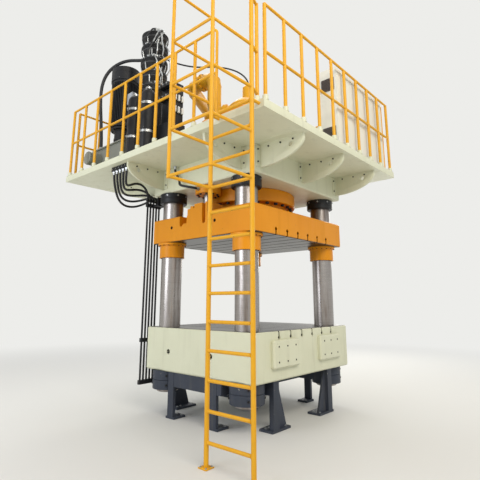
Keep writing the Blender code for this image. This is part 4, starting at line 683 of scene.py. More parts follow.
bore, lip, low, lipLow = (glandSizes[key] for key in ("bore", "lip", "low", "lipLow"))
profile = disc(glandSizes["radius"], glandSizes["top"], low, glandSizes["edge"], bore)[:-1]
profile += [(lip + 0.002, low), (lip, low - 0.002), (lip, lipLow + 0.0029), (lip - 0.003, lipLow),
            (bore, lipLow)]
scraper = [(bore, lipLow + 0.0005), (bore + 0.0128, lipLow + 0.0005), (bore + 0.0128, lipLow - 0.0001),
           (bore, lipLow - 0.0001)]
glandMarks = boltCircle(axis + rise(low), glandSizes["boltCircle"], glandSizes["bolts"], downward)
pieces = [turned("glandBody", profile, axis, orangeEnamel, mainCylinder["sides"]),
          bolts("glandBolts", glandMarks, 0.036, blackedSteel, "socket"),
          turned("scraper", scraper, axis, hoseRubber, mainCylinder["sides"])]
build("glandRing", pieces, "press", "orange_paint", "gland_ring")
radius, top, low = (ramSizes[key] for key in ("radius", "top", "low"))
ramProfile = [(0, top), (radius - 0.0098, top), (radius, top - 0.01), (radius, low), (0, low)]
settle(turned("ramBody", ramProfile, axis, groundSteel, mainCylinder["sides"]), "slide_group",
       "ground_steel", "main_ram")

radius, top, low = (returnRod[key] for key in ("radius", "top", "low"))
rodProfile = [(0, top), (radius - 0.0079, top), (radius, top - 0.008), (radius, low), (0, low)]
for sideName, side in (("left", -1), ("right", 1)):
    foot = at(side * returnCylinder["x"], 0, 0)
    marks = boltCircle(foot + rise(returnCylinder["low"]), 0.16, 10, downward)
    pieces = [cylinderShell(returnCylinder, foot),
              bolts("returnBolts", marks, 0.036, blackedSteel, "socket")]
    build("returnCylinder_" + sideName, pieces, "press", "orange_paint", "return_cylinder_" + sideName)
    settle(turned("returnRod_" + sideName, rodProfile, foot, groundSteel, 48), "slide_group", "ground_steel",
           "return_rod_" + sideName)
print("cylinders ready")

# ---- guard rails, ladder and cage
deckSizes = {"left": -1.97, "right": 1.72, "front": -1.89, "back": 2.69, "bottom": 3.785, "top": 3.895,
             "tread": 0.006}
railSizes = {"inset": 0.04, "top": 5.156, "middle": 4.5222, "post": 0.023, "bar": 0.019, "bend": 0.07,
             "socket": 0.065, "firstPost": 0.04, "corner": 0.1, "gate": -1.10}
standLevel = deckSizes["top"] + 0.0003  # what stands on the deck starts a hair above it
railLeft, railRight = deckSizes["left"] + railSizes["inset"], deckSizes["right"] - railSizes["inset"]
railFront, railBack = deckSizes["front"] + railSizes["inset"], deckSizes["back"] - railSizes["inset"]
railRuns = {  # start, end, number of bays, and whether the end bends down
            "front": ((railLeft + railSizes["firstPost"], railFront), (railRight, railFront), 9, False),
            "right": ((railRight, railFront + railSizes["corner"]), (railRight, railBack), 12, False),
            "back": ((railRight - railSizes["corner"], railBack), (railLeft + railSizes["corner"], railBack),
                     8, False),
            "left": ((railLeft, railBack), (railLeft, railSizes["gate"]), 9, True),
            }


def postSocket(x, y, base, shoulder, top):
    # the short painted socket that a post stands in
    profile = [(0.024, top), (0.033, top), (0.035, top - 0.004), (0.035, shoulder), (0.044, base),
               (0.024, base)]
    return turned("socket", profile, at(x, y, 0), creamEnamel, 20)


for sideName, (start, end, bays, bent) in railRuns.items():
    start, end = Vector((*start, 0)), Vector((*end, 0))
    places = [start.lerp(end, i / bays) for i in range(bays + 1)]
    top, middle, base = railSizes["top"], railSizes["middle"], standLevel
    posts = [[at(p.x, p.y, base), at(p.x, p.y, top)] for p in (places[:-1] if bent else places)]
    topLine, middleLine = ([at(start.x, start.y, z), at(end.x, end.y, z)] for z in (top, middle))
    if bent:
        topLine.append(at(end.x, end.y, base))
    pieces = [bars("posts", posts, railSizes["post"], yellowEnamel),
              bars("topBar", [topLine], railSizes["bar"], yellowEnamel, railSizes["bend"] if bent else 0),
              bars("middleBar", [middleLine], railSizes["bar"], yellowEnamel)]
    pieces += [postSocket(p.x, p.y, base, base + 0.006, base + railSizes["socket"]) for p in places]
    build("guardRail_" + sideName, pieces, "press", "yellow_paint", "guard_rail_" + sideName)

ladder = {"x": -2.10, "front": -1.82, "back": -1.19, "low": 0.006, "top": 5.175, "stile": 0.026,
          "rung": 0.019, "firstRung": 0.24, "pitch": 0.30, "rungs": 13, "tieLevel": 3.84, "arm": 0.019,
          "foot": 0.06, "armLevels": (3.99, 4.515, 5.156), "corner": (-1.93, -1.76), "cornerPost": 0.023}
ladderSides = (ladder["front"], ladder["back"])
rungLevels = [ladder["firstRung"] + i * ladder["pitch"] for i in range(ladder["rungs"])]


def ladderLine(x, y, z, toX, toY, toZ):
    return [at(x, y, z), at(toX, toY, toZ)]


x = ladder["x"]
stiles = [ladderLine(x, y, ladder["low"], x, y, ladder["top"]) for y in ladderSides]
rungs = [ladderLine(x, ladder["front"], z, x, ladder["back"], z) for z in rungLevels]
ties = [ladderLine(x, y, ladder["tieLevel"], deckSizes["left"] - 0.0003, y, ladder["tieLevel"])
        for y in ladderSides]
arms = [ladderLine(x, ladder["front"], z, *ladder["corner"], z) for z in ladder["armLevels"]]
cornerPost = [ladderLine(*ladder["corner"], standLevel, *ladder["corner"], ladder["top"])]
pieces = [bars("stiles", stiles, ladder["stile"], yellowEnamel),
          bars("rungs", rungs + ties, ladder["rung"], yellowEnamel),
          bars("arms", arms, ladder["arm"], yellowEnamel),
          bars("cornerPost", cornerPost, ladder["cornerPost"], yellowEnamel)]
weldProfile = [(0.019, 0.006), (0.0215, 0.004), (0.0245, -0.002), (0.019, -0.004)]
feet = []
for y, inward in zip(ladderSides, (1, -1)):
    reach = ladder["foot"]
    pieces.append(block("footPlate", at(x - reach, y - reach, 0), at(x + reach, y + reach, 0.012),
                        yellowEnamel, 0.002))
    feet += [(at(x + sx * 0.042, y + sy * 0.042, 0.012), upward) for sx in (-1, 1) for sy in (-1, 1)]
    for z in rungLevels:  # weld run where each rung meets its stile
        pieces.append(turned("weld", weldProfile, at(x, y + inward * ladder["stile"], z), yellowEnamel, 14,
                             (0, inward, 0)))
pieces.append(bolts("anchorBolts", feet, 0.02, zincPlate))
pieces.append(postSocket(*ladder["corner"], standLevel, 3.901, 3.96))
build("ladderFrame", pieces, "press", "yellow_paint", "ladder")

cageSizes = {"outer": -2.72, "low": 2.92, "hoop": 0.0185, "post": 0.02,
             "levels": (2.94, 3.465, 3.99, 4.515, 5.155)}
outer, stileFace = cageSizes["outer"], ladder["x"] - ladder["stile"] * math.cos(math.pi / 6) - 0.0003
hoops = [[at(stileFace, ladder["back"], z), at(outer, ladder["back"], z), at(outer, ladder["front"], z),
          at(stileFace, ladder["front"], z)] for z in cageSizes["levels"]]
cagePosts = [[at(outer, y, cageSizes["low"]), at(outer, y, ladder["top"])] for y in ladderSides]
pieces = [bars("hoops", hoops, cageSizes["hoop"], yellowEnamel),
          bars("uprights", cagePosts, cageSizes["post"], yellowEnamel)]
build("cageFrame", pieces, "press", "yellow_paint", "ladder_cage")
print("rails, ladder and cage ready")

# ---- deck: a plate with a chequered tread sheet on it and gusset brackets under it
treadEnamel = enamel("treadEnamel", "#C6CBB2", "#B4B99F", "#7A7866", "#8E8C7C", 0.46, 0.5, 0.69, runs=False)
halfX = (crownHigh.x - crownLow.x) / 2 + 0.0003
halfY = (crownHigh.y - crownLow.y) / 2 + 0.0003
bracketSizes = {"height": 0.32, "thickness": 0.04, "nose": 0.0512, "hole": 0.035, "holeShare": 0.72,
                "bolt": 0.024, "flangeWidth": 0.20, "flange": 0.012, "arcSteps": 28,
                "flangeBolts": (-0.07, -0.25), "webBolts": (0.22, 0.50, 0.78), "stopShort": 0.07,
                "backReach": 1.10}
bracketPlaces = {"x": (-1.05, 0, 1.05), "backX": (-1.05, 1.05), "y": (-0.85, 0.85)}


def framed(left, right, front, back):
    return [(left, front), (right, front), (right, back), (left, back)]


def gusset(across, origin, reach):
    across, up, origin = Vector(across), Vector(upward), Vector(origin)
    side = across.cross(up)
    height, nose, thick = bracketSizes["height"], bracketSizes["nose"], bracketSizes["thickness"]
    half, flange, steps = bracketSizes["flangeWidth"] / 2, bracketSizes["flange"], bracketSizes["arcSteps"]

    def place(u, v, w=0.0):
        return origin + across * u + up * v + side * w

    arc = [(nose + (reach - nose) * math.cos(math.pi / 2 * i / steps),
            -nose - (height - nose) * math.sin(math.pi / 2 * i / steps)) for i in range(steps + 1)]
    hole = circle(reach * bracketSizes["holeShare"], -height / 3, bracketSizes["hole"], 28)
    parts = [slab("web", [[(0, 0), (reach, 0)] + arc + [(0, -height)], hole], thick, across, up, origin,
                  creamEnamel, 0.003),
             block("wallFlange", place(0, -height + 0.004, -half), place(flange, -0.006, half), creamEnamel,
                   0.002, 1)]
    marks = [(place(flange, v, w), across) for v in bracketSizes["flangeBolts"]
             for w in (-half + 0.028, half - 0.028)]
    for face in (-1, 1):
        w = face * thick / 2
        marks += [(place(reach * share, -0.05, w), side * face) for share in bracketSizes["webBolts"]]
        beads = [[place(0.014, -0.001, w), place(reach - 0.01, -0.001, w)],
                 [place(0.013, -0.01, w), place(0.013, -height + 0.02, w)]]
        parts.append(bars("weldBeads", beads, 0.006, creamEnamel, sides=8))
    parts.append(bolts("gussetBolts", marks, bracketSizes["bolt"], blackedSteel, "socket"))
    return parts


left, right, front, back, bottom, top = (deckSizes[key]
                                         for key in ("left", "right", "front", "back", "bottom", "top"))
opening, treadEdge = framed(-halfX, halfX, -halfY, halfY), 0.012
treadOpening = framed(-halfX - treadEdge, halfX + treadEdge, -halfY - treadEdge, halfY + treadEdge)
treadSheet = framed(left + treadEdge, right - treadEdge, front + treadEdge, back - treadEdge)
treadLow = top - deckSizes["tread"]
pieces = [slab("deckPlate", [framed(left, right, front, back), opening], treadLow - bottom, (1, 0, 0),
               (0, 1, 0),
               at(0, 0, (treadLow + bottom) / 2), creamEnamel, 0.004),
          slab("treadPlate", [treadSheet, treadOpening], deckSizes["tread"], (1, 0, 0), (0, 1, 0),
               at(0, 0, top - deckSizes["tread"] / 2), treadEnamel, 0.001)]
tread = {"pitch": 0.062, "length": 0.034, "margin": 0.03, "first": 0.05}
columns = int((right - left - 2 * tread["margin"]) / tread["pitch"])
rows = int((back - front - 2 * tread["margin"]) / tread["pitch"])
lozenges = {"lozenge": [], "crossLozenge": []}
for column in range(columns):
    for row in range(rows):
        x, y = left + tread["first"] + column * tread["pitch"], front + tread["first"] + row * tread["pitch"]
        if abs(x) > halfX + tread["margin"] or abs(y) > halfY + tread["margin"]:
            style = ("lozenge", "crossLozenge")[(column + row) % 2]
            lozenges[style].append((at(x, y, top - 0.0005), upward))
for style, marks in lozenges.items():  # the raised pattern of a chequered tread sheet
    pieces.append(bolts("treadPattern", marks, tread["length"], treadEnamel, style, spin=0.0))
short = bracketSizes["stopShort"]
for x in bracketPlaces["x"]:
    pieces += gusset(frontward, at(x, -halfY, bottom), -halfY - front - short)
for x in bracketPlaces["backX"]:
    pieces += gusset((0, 1, 0), at(x, halfY, bottom), bracketSizes["backReach"])
for y in bracketPlaces["y"]:
    pieces += gusset(leftward, at(-halfX, y, bottom), -halfX - left - short)
    pieces += gusset((1, 0, 0), at(halfX, y, bottom), right - halfX - short)
seamSizes = {"leftIn": 0.79, "rightIn": 0.54, "end": 0.02, "radius": 0.004}
# the deck is welded up from plates, so a flat bead crosses its underside at each joint
seams, end = [], seamSizes["end"]
for x in (left + seamSizes["leftIn"], right - seamSizes["rightIn"]):
    seams += [[at(x, front + end, bottom), at(x, -halfY - end, bottom)],
              [at(x, halfY + end, bottom), at(x, back - end, bottom)]]
pieces.append(bars("plateSeams", seams, seamSizes["radius"], creamEnamel, sides=8))
build("serviceDeck", pieces, "press", "cream_paint", "deck")

# ---- rings that lock the cylinders into the crown, on its top face
crownTop = crownHigh.z
lockRings = {"main": {"gap": 0.0005, "radius": 0.74, "edge": 0.005, "height": 0.045, "sides": 96,
                      "bolts": (0.70, 24, 0.034)},
             "return": {"gap": 0.0005, "radius": 0.175, "edge": 0.003, "height": 0.035, "sides": 48,
                        "bolts": (0.15, 8, 0.024)}}


def lockRing(foot, sizes, barrel):
    top, base, outer, edge = crownTop + sizes["height"], crownTop + 0.0003, sizes["radius"], sizes["edge"]
    inner = barrel + sizes["gap"]
    circleRadius, count, head = sizes["bolts"]
    profile = [(inner, top), (outer - edge, top), (outer, top - edge), (outer, base), (inner, base)]
    return [turned("lockRing", profile, foot, creamEnamel, sizes["sides"]),
            bolts("lockBolts", boltCircle(foot + rise(top), circleRadius, count), head, blackedSteel)]


pieces = lockRing(at(0, 0, 0), lockRings["main"], mainCylinder["barrel"])
for side in (-1, 1):
    pieces += lockRing(at(side * returnCylinder["x"], 0, 0), lockRings["return"], returnCylinder["barrel"])
build("crownLockRings", pieces, "press", "cream_paint")
print("deck and crown ready")

# ---- tapped holes of the front pads, anchor bolts of the base frame, screws of the pipe clamps
padHoles = {"pads": (-0.577, 0.577), "step": 0.195, "level": 0.9775, "rise": 0.0975, "face": -1.16,
            "radius": 0.0128, "wall": 0.002, "depth": 0.032}
outer, inner = padHoles["radius"], padHoles["radius"] - padHoles["wall"]
depth, floorLevel = -padHoles["depth"], padHoles["wall"] - padHoles["depth"]
profile = [(outer, 0.0008), (inner, 0.0008), (inner, floorLevel), (0, floorLevel), (0, depth),
           (outer, depth)]
pieces = []
for centre in padHoles["pads"]:
    for column in (-1, 0, 1):
        for z in (padHoles["level"] - padHoles["rise"], padHoles["level"] + padHoles["rise"]):
            # a near-black cup lines each tapped hole: bare tapped steel, and painted shade for the dark
            # inside of the hole
            pieces.append(turned("holeSleeve", profile,
                                 at(centre + column * padHoles["step"], padHoles["face"], z),
                                 blackedSteel, 24, frontward))
build("padHoleSleeves", pieces, "press", "cream_paint")

# ---- threads of the lifting holes in the sides of the bed and of the slide: bare oily steel, drawn near black as painted shade for the dark inside of each hole
liftingHoles = {"bed": {"radius": 0.0394, "depth": 0.138, "top": 1.27, "drop": 0.345, "y": (0.57, -0.32),
                        "body": "press", "slot": "cream_paint"},
                "slide": {"radius": 0.0275, "depth": 0.098, "top": 2.965, "drop": 0.163,
                          "y": (0.615, -0.346), "body": "slide_group", "slot": "orange_paint"}}
liftingThread = {"pitch": 0.009, "height": 0.003, "wall": 0.002, "setIn": 0.003, "land": 0.001, "end": 0.004}
for nodeName, hole in liftingHoles.items():
    wall, pitch, land = liftingThread["wall"], liftingThread["pitch"], liftingThread["land"]
    outer, inner = hole["radius"], hole["radius"] - wall
    depth, floorLevel = -liftingThread["setIn"], -hole["depth"]
    profile = [(outer, depth), (inner, depth)]
    while depth - pitch > floorLevel + liftingThread["end"]:
        profile += [(inner, depth - land), (inner - liftingThread["height"], depth - pitch / 2)]
        depth -= pitch
    profile += [(inner, depth - land), (inner, floorLevel + wall), (0, floorLevel + wall), (0, floorLevel),
                (outer, floorLevel)]
    pieces = []
    for side, corner in zip((-1, 1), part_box(nodeName)):
        for y in hole["y"]:
            spot = at(0, y, hole["top"] - hole["drop"])
            spot.x = corner[0]
            # the near-black lining is painted shade for the inside of the hole as well as bare thread
            pieces.append(turned("liftingThread", profile, spot, blackedSteel, 28, (side, 0, 0)))
    build(nodeName + "LiftingThreads", pieces, hole["body"], hole["slot"])

baseAnchors = {"corner": ((0.72, 0.885), (0.66, 0.885), (0.44, 0.885), (0.44, 0.99)), "sideX": 0.995,
               "sideY": (0.52, -0.35), "step": 0.05, "level": 0.03, "head": 0.03}
marks = []
for sideX in (-1, 1):
    spots = [(x, sideY * y) for sideY in (-1, 1) for x, y in baseAnchors["corner"]]
    spots += [(baseAnchors["sideX"], y + step * baseAnchors["step"]) for y in baseAnchors["sideY"]
              for step in (-1, 1)]
    marks += [(at(sideX * x, y, baseAnchors["level"]), upward) for x, y in spots]
build("baseAnchors", [bolts("anchorBolts", marks, baseAnchors["head"], zincPlate)], "press", "slate_paint")
clampHoles = {"x": (-1.16, -1.10, -1.04, -0.98), "face": 1.285, "levels": (3.27, 1.05), "head": 0.014}
marks = [(at(x, clampHoles["face"], z), (0, 1, 0)) for x in clampHoles["x"] for z in clampHoles["levels"]]
build("clampScrews", [bolts("clampScrews", marks, clampHoles["head"], zincPlate, "socket")], "press",
      "slate_paint")

# ---- prefill valve and suction pipe
suction = {"radius": 0.13, "flange": 0.165, "thick": 0.035, "height": 5.0373, "top": 5.80, "reach": 0.4203,
           "bend": 0.20, "rise": (-0.30, 0.58), "split": 0.90, "over": 1.22, "foot": (0.80, 1.80),
           "low": 4.4256, "sides": 44}
prefillValve = {"body": [(0, 5.5203), (0.077, 5.5203), (0.11, 5.4803), (0.11, 5.235), (0.122, 5.225),
                         (0.122, 5.1903), (0.246, 5.1903), (0.252, 5.186), (0.355, 5.094), (0.36, 5.086),
                         (0.36, 4.9103), (0.402, 4.9103), (0.41, 4.902), (0.41, 4.858), (0.402, 4.8503),
                         (0, 4.8503)],
                "neck": [(0, 0.3843), (0.14, 0.3843), (0.14, 0.2), (0, 0.2)],
                "portFlange": (0.165, 0.42, 0.384, 0.003)}
suctionWay = Vector((*suction["rise"], 0)).normalized()
axis = at(0, 0, 0)
portCentre = axis + rise(suction["height"])
pieces = [
    turned("valveBody", prefillValve["body"], axis, yellowEnamel, 80),
    turned("portNeck", prefillValve["neck"], portCentre, yellowEnamel, 48, suctionWay),
    turned("portFlange", disc(*prefillValve["portFlange"]), portCentre, yellowEnamel, 48, suctionWay),
    bolts("flangeBolts", boltCircle(at(0, 0, 4.9103), 0.384, 16), 0.034, blackedSteel),
    bolts("coverBolts", boltCircle(at(0, 0, 5.1903), 0.19, 8), 0.03, blackedSteel),
    bolts("capBolts", boltCircle(at(0, 0, 5.225), 0.132, 6, downward), 0.014, blackedSteel, "socket")]
build("prefillValve", pieces, "press", "yellow_paint", "prefill_valve")


def mitredRoute(corners, radius, steps=3):
    # straight runs with each bend cut from three mitred lengths, and the places of its weld joints
    line, joints = [corners[0]], []
    for before, corner, after in zip(corners, corners[1:], corners[2:]):
        start = corner + (before - corner).normalized() * radius
        end = corner + (after - corner).normalized() * radius
        for step in range(steps + 1):
            t = step / steps
            spot = start * (1 - t) ** 2 + corner * 2 * t * (1 - t) + end * t ** 2
            way = (corner - start) * (1 - t) + (end - corner) * t
            line.append(spot)
            joints.append((spot, way.normalized()))
    return line + [corners[-1]], joints


portFace = portCentre + suctionWay * suction["reach"]
(riseX, riseY), topLevel, pipeFoot = suction["rise"], suction["top"], at(*suction["foot"], suction["low"])
corners = [portFace, at(riseX, riseY, suction["height"]), at(riseX, riseY, topLevel),
           at(riseX, suction["over"], topLevel),
           at(*suction["foot"], topLevel), pipeFoot]
pipeLine, joints = mitredRoute(corners, suction["bend"])
pieces = [dress(bars("pipeBody", [pipeLine], suction["radius"], yellowEnamel, sides=suction["sides"]),
                yellowEnamel, 12)]
beadProfile = [(0.127, 0.007), (0.1335, 0.005), (0.1345, 0), (0.1335, -0.005), (0.127, -0.007)]
pieces += [turned("jointBead", beadProfile, spot, yellowEnamel, suction["sides"], way)
           for spot, way in joints]
outer, thick = suction["flange"], suction["thick"]
flangeProfile = [(0.128, thick), (outer - 0.003, thick), (outer, thick - 0.003), (outer, 0.003),
                 (outer - 0.003, 0.0005), (0.128, 0.0005)]
splitJoint, marks = at(riseX, suction["split"], topLevel), []
for spot, way in ((portFace, suctionWay), (pipeFoot, Vector(upward)), (splitJoint, Vector((0, 1, 0))),
                  (splitJoint, Vector(frontward))):
    pieces.append(turned("pipeFlange", flangeProfile, spot, yellowEnamel, 56, way))
    marks += boltCircle(spot + way * thick, 0.1475, 10, way)
pieces.append(bolts("pipeBolts", marks, 0.018, blackedSteel))
build("suctionPipe", pieces, "press", "yellow_paint", "suction_pipe")
print("prefill valve and suction pipe ready")

# ---- pump motors on their pumps
motorSizes = {"x": (-1.33, -0.62), "y": 1.95, "foot": 4.4256, "low": 4.7856, "high": 5.7056, "top": 5.9656,
              "radius": 0.25, "root": 0.224, "fins": 46, "cowl": 0.262, "flange": 0.22, "shaftTop": 5.8676,
              "portLevel": 4.572,
              "port": [(0, 0.20), (0.036, 0.20), (0.040, 0.196), (0.040, 0.176), (0.030, 0.172),
                       (0.030, 0.10), (0, 0.10)]}
grille = {"hoops": 8, "firstHoop": 0.055, "step": 0.026, "hoopWire": 0.0028, "spokes": 8,
          "spokeWire": 0.0042, "hub": 0.03, "rim": 0.252, "below": 0.0055, "points": 40}
terminalBox = {"half": 0.10, "halfHeight": 0.11, "front": 0.39, "back": 0.236, "lid": 0.022,
               "screws": (0.083, 0.093), "glands": (-0.045, 0.045), "glandY": 0.31}


def finOutline(radius, root, count):
    outline = []
    for fin in range(count):
        for offset, reach in ((-0.15, radius), (0.15, radius), (0.22, root), (0.78, root)):
            angle = (fin + offset) * 2 * math.pi / count
            outline.append((reach * math.cos(angle), reach * math.sin(angle)))
    return outline


def motorBody(foot):
    low, high, top, base = (motorSizes[key] for key in ("low", "high", "top", "foot"))
    radius, cowl, flange = motorSizes["radius"], motorSizes["cowl"], motorSizes["flange"]
    pump = disc(flange, low, low - 0.04, 0.004)[:-1]
    pump += [(0.168, low - 0.04), (0.15, low - 0.06), (0.15, 4.60), (0.158, 4.592), (0.158, 4.552),
             (0.15, 4.544), (0.15, base + 0.058), (0.168, base + 0.04), (flange - 0.004, base + 0.04),
             (flange, base + 0.036), (flange, base), (0, base)]
    lowerShield = [(0, low + 0.075), (0.234, low + 0.075), (0.247, low + 0.066), (radius, low + 0.004),
                   (radius - 0.004, low), (0, low)]
    upperShield = [(0, high), (radius, high), (radius, high - 0.05), (0.234, high - 0.06), (0, high - 0.06)]
    shell = [(0, high + 0.012), (radius, high + 0.012), (radius, top - 0.003), (radius + 0.003, top),
             (cowl - 0.003, top), (cowl, top - 0.003), (cowl, high + 0.16), (cowl - 0.0028, high + 0.157),
             (cowl - 0.0028, high + 0.151), (cowl, high + 0.148), (cowl, high - 0.002),
             (0.2505, high - 0.002), (0, high - 0.002)]
    shaftTop = motorSizes["shaftTop"]
    shaft = [(0, shaftTop), (0.018, shaftTop), (0.02, shaftTop - 0.002), (0.02, high + 0.011),
             (0, high + 0.011)]
    hub = [(0, top - 0.0005), (0.03, top - 0.0005), (0.034, top - 0.005), (0.034, top - 0.011),
           (0, top - 0.011)]
    fins = finOutline(radius, motorSizes["root"], motorSizes["fins"])
    return [turned("pumpBody", pump, foot, blackEnamel, 56),
            turned("lowerShield", lowerShield, foot, blackEnamel, 56),
            turned("upperShield", upperShield, foot, blackEnamel, 56),
            slab("finnedBody", [fins], high - low - 0.135, (1, 0, 0), (0, 1, 0),
                 foot + rise((low + high + 0.015) / 2), blackEnamel),
            turned("cowlShell", shell, foot, blackEnamel, 64),
            turned("shaftEnd", shaft, foot, groundSteel, 28),
            turned("grilleHub", hub, foot, blackEnamel, 28)]


def motorGrille(foot):
    centre, points = foot + rise(motorSizes["top"] - grille["below"]), grille["points"]
    reaches = [grille["firstHoop"] + i * grille["step"] for i in range(grille["hoops"])]
    hoopLines = [[centre + spoke(2 * math.pi * k / points) * reach for k in range(points + 1)]
                 for reach in reaches]
    spokeLines = [[centre + spoke(angle) * grille["hub"], centre + spoke(angle) * grille["rim"]]
                  for angle in evenAngles(grille["spokes"])]
    return [bars("grilleHoops", hoopLines, grille["hoopWire"], blackedSteel, sides=8),
            bars("grilleSpokes", spokeLines, grille["spokeWire"], blackedSteel, sides=8)]


def motorTerminals(x):
    y, level = motorSizes["y"], motorSizes["low"] + (motorSizes["high"] - motorSizes["low"]) * 0.55
    half, tall, front = terminalBox["half"], terminalBox["halfHeight"], motorSizes["y"] - terminalBox["front"]
    across, upDown = terminalBox["screws"]
    lidMarks = [(at(x + sx * across, front, level + sz * upDown), frontward) for sx in (-1, 1)
                for sz in (-1, 1)]
    glandProfile = [(0, 0), (0.021, 0), (0.021, -0.014), (0.017, -0.016), (0.017, -0.03), (0.012, -0.036),
                    (0, -0.036)]
    return [block("boxBody", at(x - half, front + terminalBox["lid"], level - tall),
                  at(x + half, y - terminalBox["back"], level + tall), mouldedGrey, 0.008, 3),
            block("boxGasket", at(x - half + 0.005, front + 0.018, level - tall + 0.005),
                  at(x + half - 0.005, front + 0.023, level + tall - 0.005), hoseRubber, 0),
            block("boxLid", at(x - half, front, level - tall), at(x + half, front + 0.0185, level + tall),
                  mouldedGrey, 0.006, 3),
            bolts("lidScrews", lidMarks, 0.011, zincPlate, "socket")] + [
            turned("cableGland", glandProfile, at(x + step, y - terminalBox["glandY"], level - tall),
                   mouldedBlack, 12)
            for step in terminalBox["glands"]]


for number, x in enumerate(motorSizes["x"], start=1):
    foot = at(x, motorSizes["y"], 0)
    flangeMarks = boltCircle(foot + rise(motorSizes["foot"] + 0.04), 0.192, 8)
    flangeMarks += boltCircle(foot + rise(motorSizes["low"] - 0.04), 0.192, 8, downward)
    cowlMarks = radialMarks(foot + rise(motorSizes["high"] + 0.03), motorSizes["cowl"] - 0.0003, 6,
                            math.pi / 6)
    pieces = motorBody(foot) + motorGrille(foot) + motorTerminals(x)
    pieces += [bolts("flangeBolts", flangeMarks, 0.026, blackedSteel),
               bolts("cowlScrews", cowlMarks, 0.012, zincPlate, "socket"),
               turned("pumpPort", motorSizes["port"], foot + rise(motorSizes["portLevel"]), blackedSteel, 6,
                      frontward)]
    build("pumpMotor_%d" % number, pieces, "press", "black_paint", "pump_motor_%d" % number)
print("motors ready")

# ---- accumulators
accumulator = {"x": -1.71, "y": (0.66, 1.02), "height": 1.16, "radius": 0.11, "foot": 0.14,
               "footHeight": 0.03, "domeStart": 0.31, "bands": (4.26, 4.74), "band": 0.0045,
               "bandHalf": 0.02}
for number, y in enumerate(accumulator["y"], start=1):
    foot, radius, top = at(accumulator["x"], y, 0), accumulator["radius"], standLevel + accumulator["height"]
    shoulder, base, footRadius = top - 0.05, standLevel, accumulator["foot"]
    turns = [math.pi / 2 * (accumulator["domeStart"] + (1 - accumulator["domeStart"]) * i / 9)
             for i in range(10)]
    dome = [(radius * math.sin(a), shoulder - radius * (1 - math.cos(a))) for a in turns]
    profile = [(0, dome[0][1] + 0.01), (0.034, dome[0][1] + 0.01)] + dome
    profile += [(radius, base + accumulator["footHeight"]), (footRadius, base + accumulator["footHeight"]),
                (footRadius, base + 0.004), (footRadius - 0.004, base), (0, base)]
    valve = [(0, top), (0.022, top), (0.026, top - 0.004), (0.026, top - 0.022), (0.046, top - 0.024),
             (0.05, top - 0.028), (0.05, top - 0.056), (0, top - 0.056)]
    footMarks = boltCircle(foot + rise(base + accumulator["footHeight"]), 0.126, 6)
    pieces = [turned("bottle", profile, foot, blackEnamel, 56),
              turned("gasValve", valve, foot, zincPlate, 24),
              bolts("footBolts", footMarks, 0.014, blackedSteel)]
    inner, outer, half = radius + 0.0005, radius + accumulator["band"], accumulator["bandHalf"]
    for level in accumulator["bands"]:  # steel bands that hold the bottle, closed by one bolt
        band = [(inner, level + half), (outer, level + half), (outer, level - half), (inner, level - half)]
        pieces += [turned("band", band, foot, zincPlate, 48),
                   block("bandLug", foot + Vector((-0.138, -0.014, level - 0.018)),
                         foot + Vector((-0.112, 0.014, level + 0.018)), zincPlate, 0.002, 1),
                   bolts("bandBolt", [(foot + Vector((-0.126, 0.014, level)), (0, 1, 0))], 0.014,
                         blackedSteel)]
    build("accumulator_%d_dressed" % number, pieces, "press", "black_paint", "accumulator_%d" % number)

# ---- valve manifold: block, tower of valves and pilot valves
manifold = {"left": -1.55, "right": -1.25, "front": 0.28, "back": 1.24, "height": 0.52}
tower = {"x": -1.35, "y": 1.04, "neck": 0.15, "ring": 0.235, "top": 6.36, "start": 5.10, "rings": 5,
         "pipes": 20, "grooves": (0.37, 0.46, 0.55), "unions": 7, "headLines": 9, "headPlate": 0.058}
towerFoot, towerTop, neck, ring = at(tower["x"], tower["y"], 0), tower["top"], tower["neck"], tower["ring"]
blockLow, blockHigh = standLevel, standLevel + manifold["height"]
pieces = [block("manifoldBlock", at(manifold["left"], manifold["front"], blockLow),
                at(manifold["right"], manifold["back"], blockHigh), blackEnamel, 0.008, 3)]
pitch = (towerTop - tower["start"]) / tower["rings"]
profile = [(0, towerTop - 0.03), (0.11, towerTop - 0.03)]
for i in range(tower["rings"]):  # valve bodies swell out between necks and carry cooling grooves
    high = towerTop - pitch * i
    profile += [(neck, high - 0.012), (0.158, high - pitch * 0.14), (0.222, high - pitch * 0.24),
                (ring, high - pitch * 0.30)]
    for groove in tower["grooves"]:
        profile += [(ring, high - pitch * (groove - 0.02)), (ring - 0.014, high - pitch * groove),
                    (ring - 0.014, high - pitch * (groove + 0.02)), (ring, high - pitch * (groove + 0.04))]
    profile += [(0.228, high - pitch * 0.68), (0.162, high - pitch * 0.86), (neck, high - pitch * 0.92)]
profile += [(neck, tower["start"] - 0.02), (neck, blockHigh - 0.004), (0, blockHigh - 0.004)]
pieces.append(turned("towerBody", profile, towerFoot, castBlack, 56))
ribs = [[towerFoot + spoke(angle) * neck + rise(z) for z in (blockHigh, tower["start"] - 0.03)]
        for angle in evenAngles(tower["pipes"])]
pieces.append(bars("towerPipes", ribs, 0.013, blackEnamel, sides=12))
marks, steps = [], []
for i in range(tower["rings"]):
    level = towerTop - pitch * (i + 0.06) - 0.02
    for angle in evenAngles(tower["unions"], 0.35 + i * 0.4):
        way = spoke(angle)
        spot = towerFoot + way * (neck + 0.002) + rise(level)
        marks.append((spot, way))
        if i:  # a bright pipe steps from one valve body to the next
            steps.append([spot, spot + way * 0.05, spot + way * 0.075 + rise(pitch * 0.5),
                          spot + way * 0.03 + rise(pitch * 0.86), spot + rise(pitch * 0.9)])
pieces += [bolts("towerUnions", marks, 0.05, zincPlate),
           bars("towerPipework", steps, 0.010, zincPlate, 0.03, 10)]

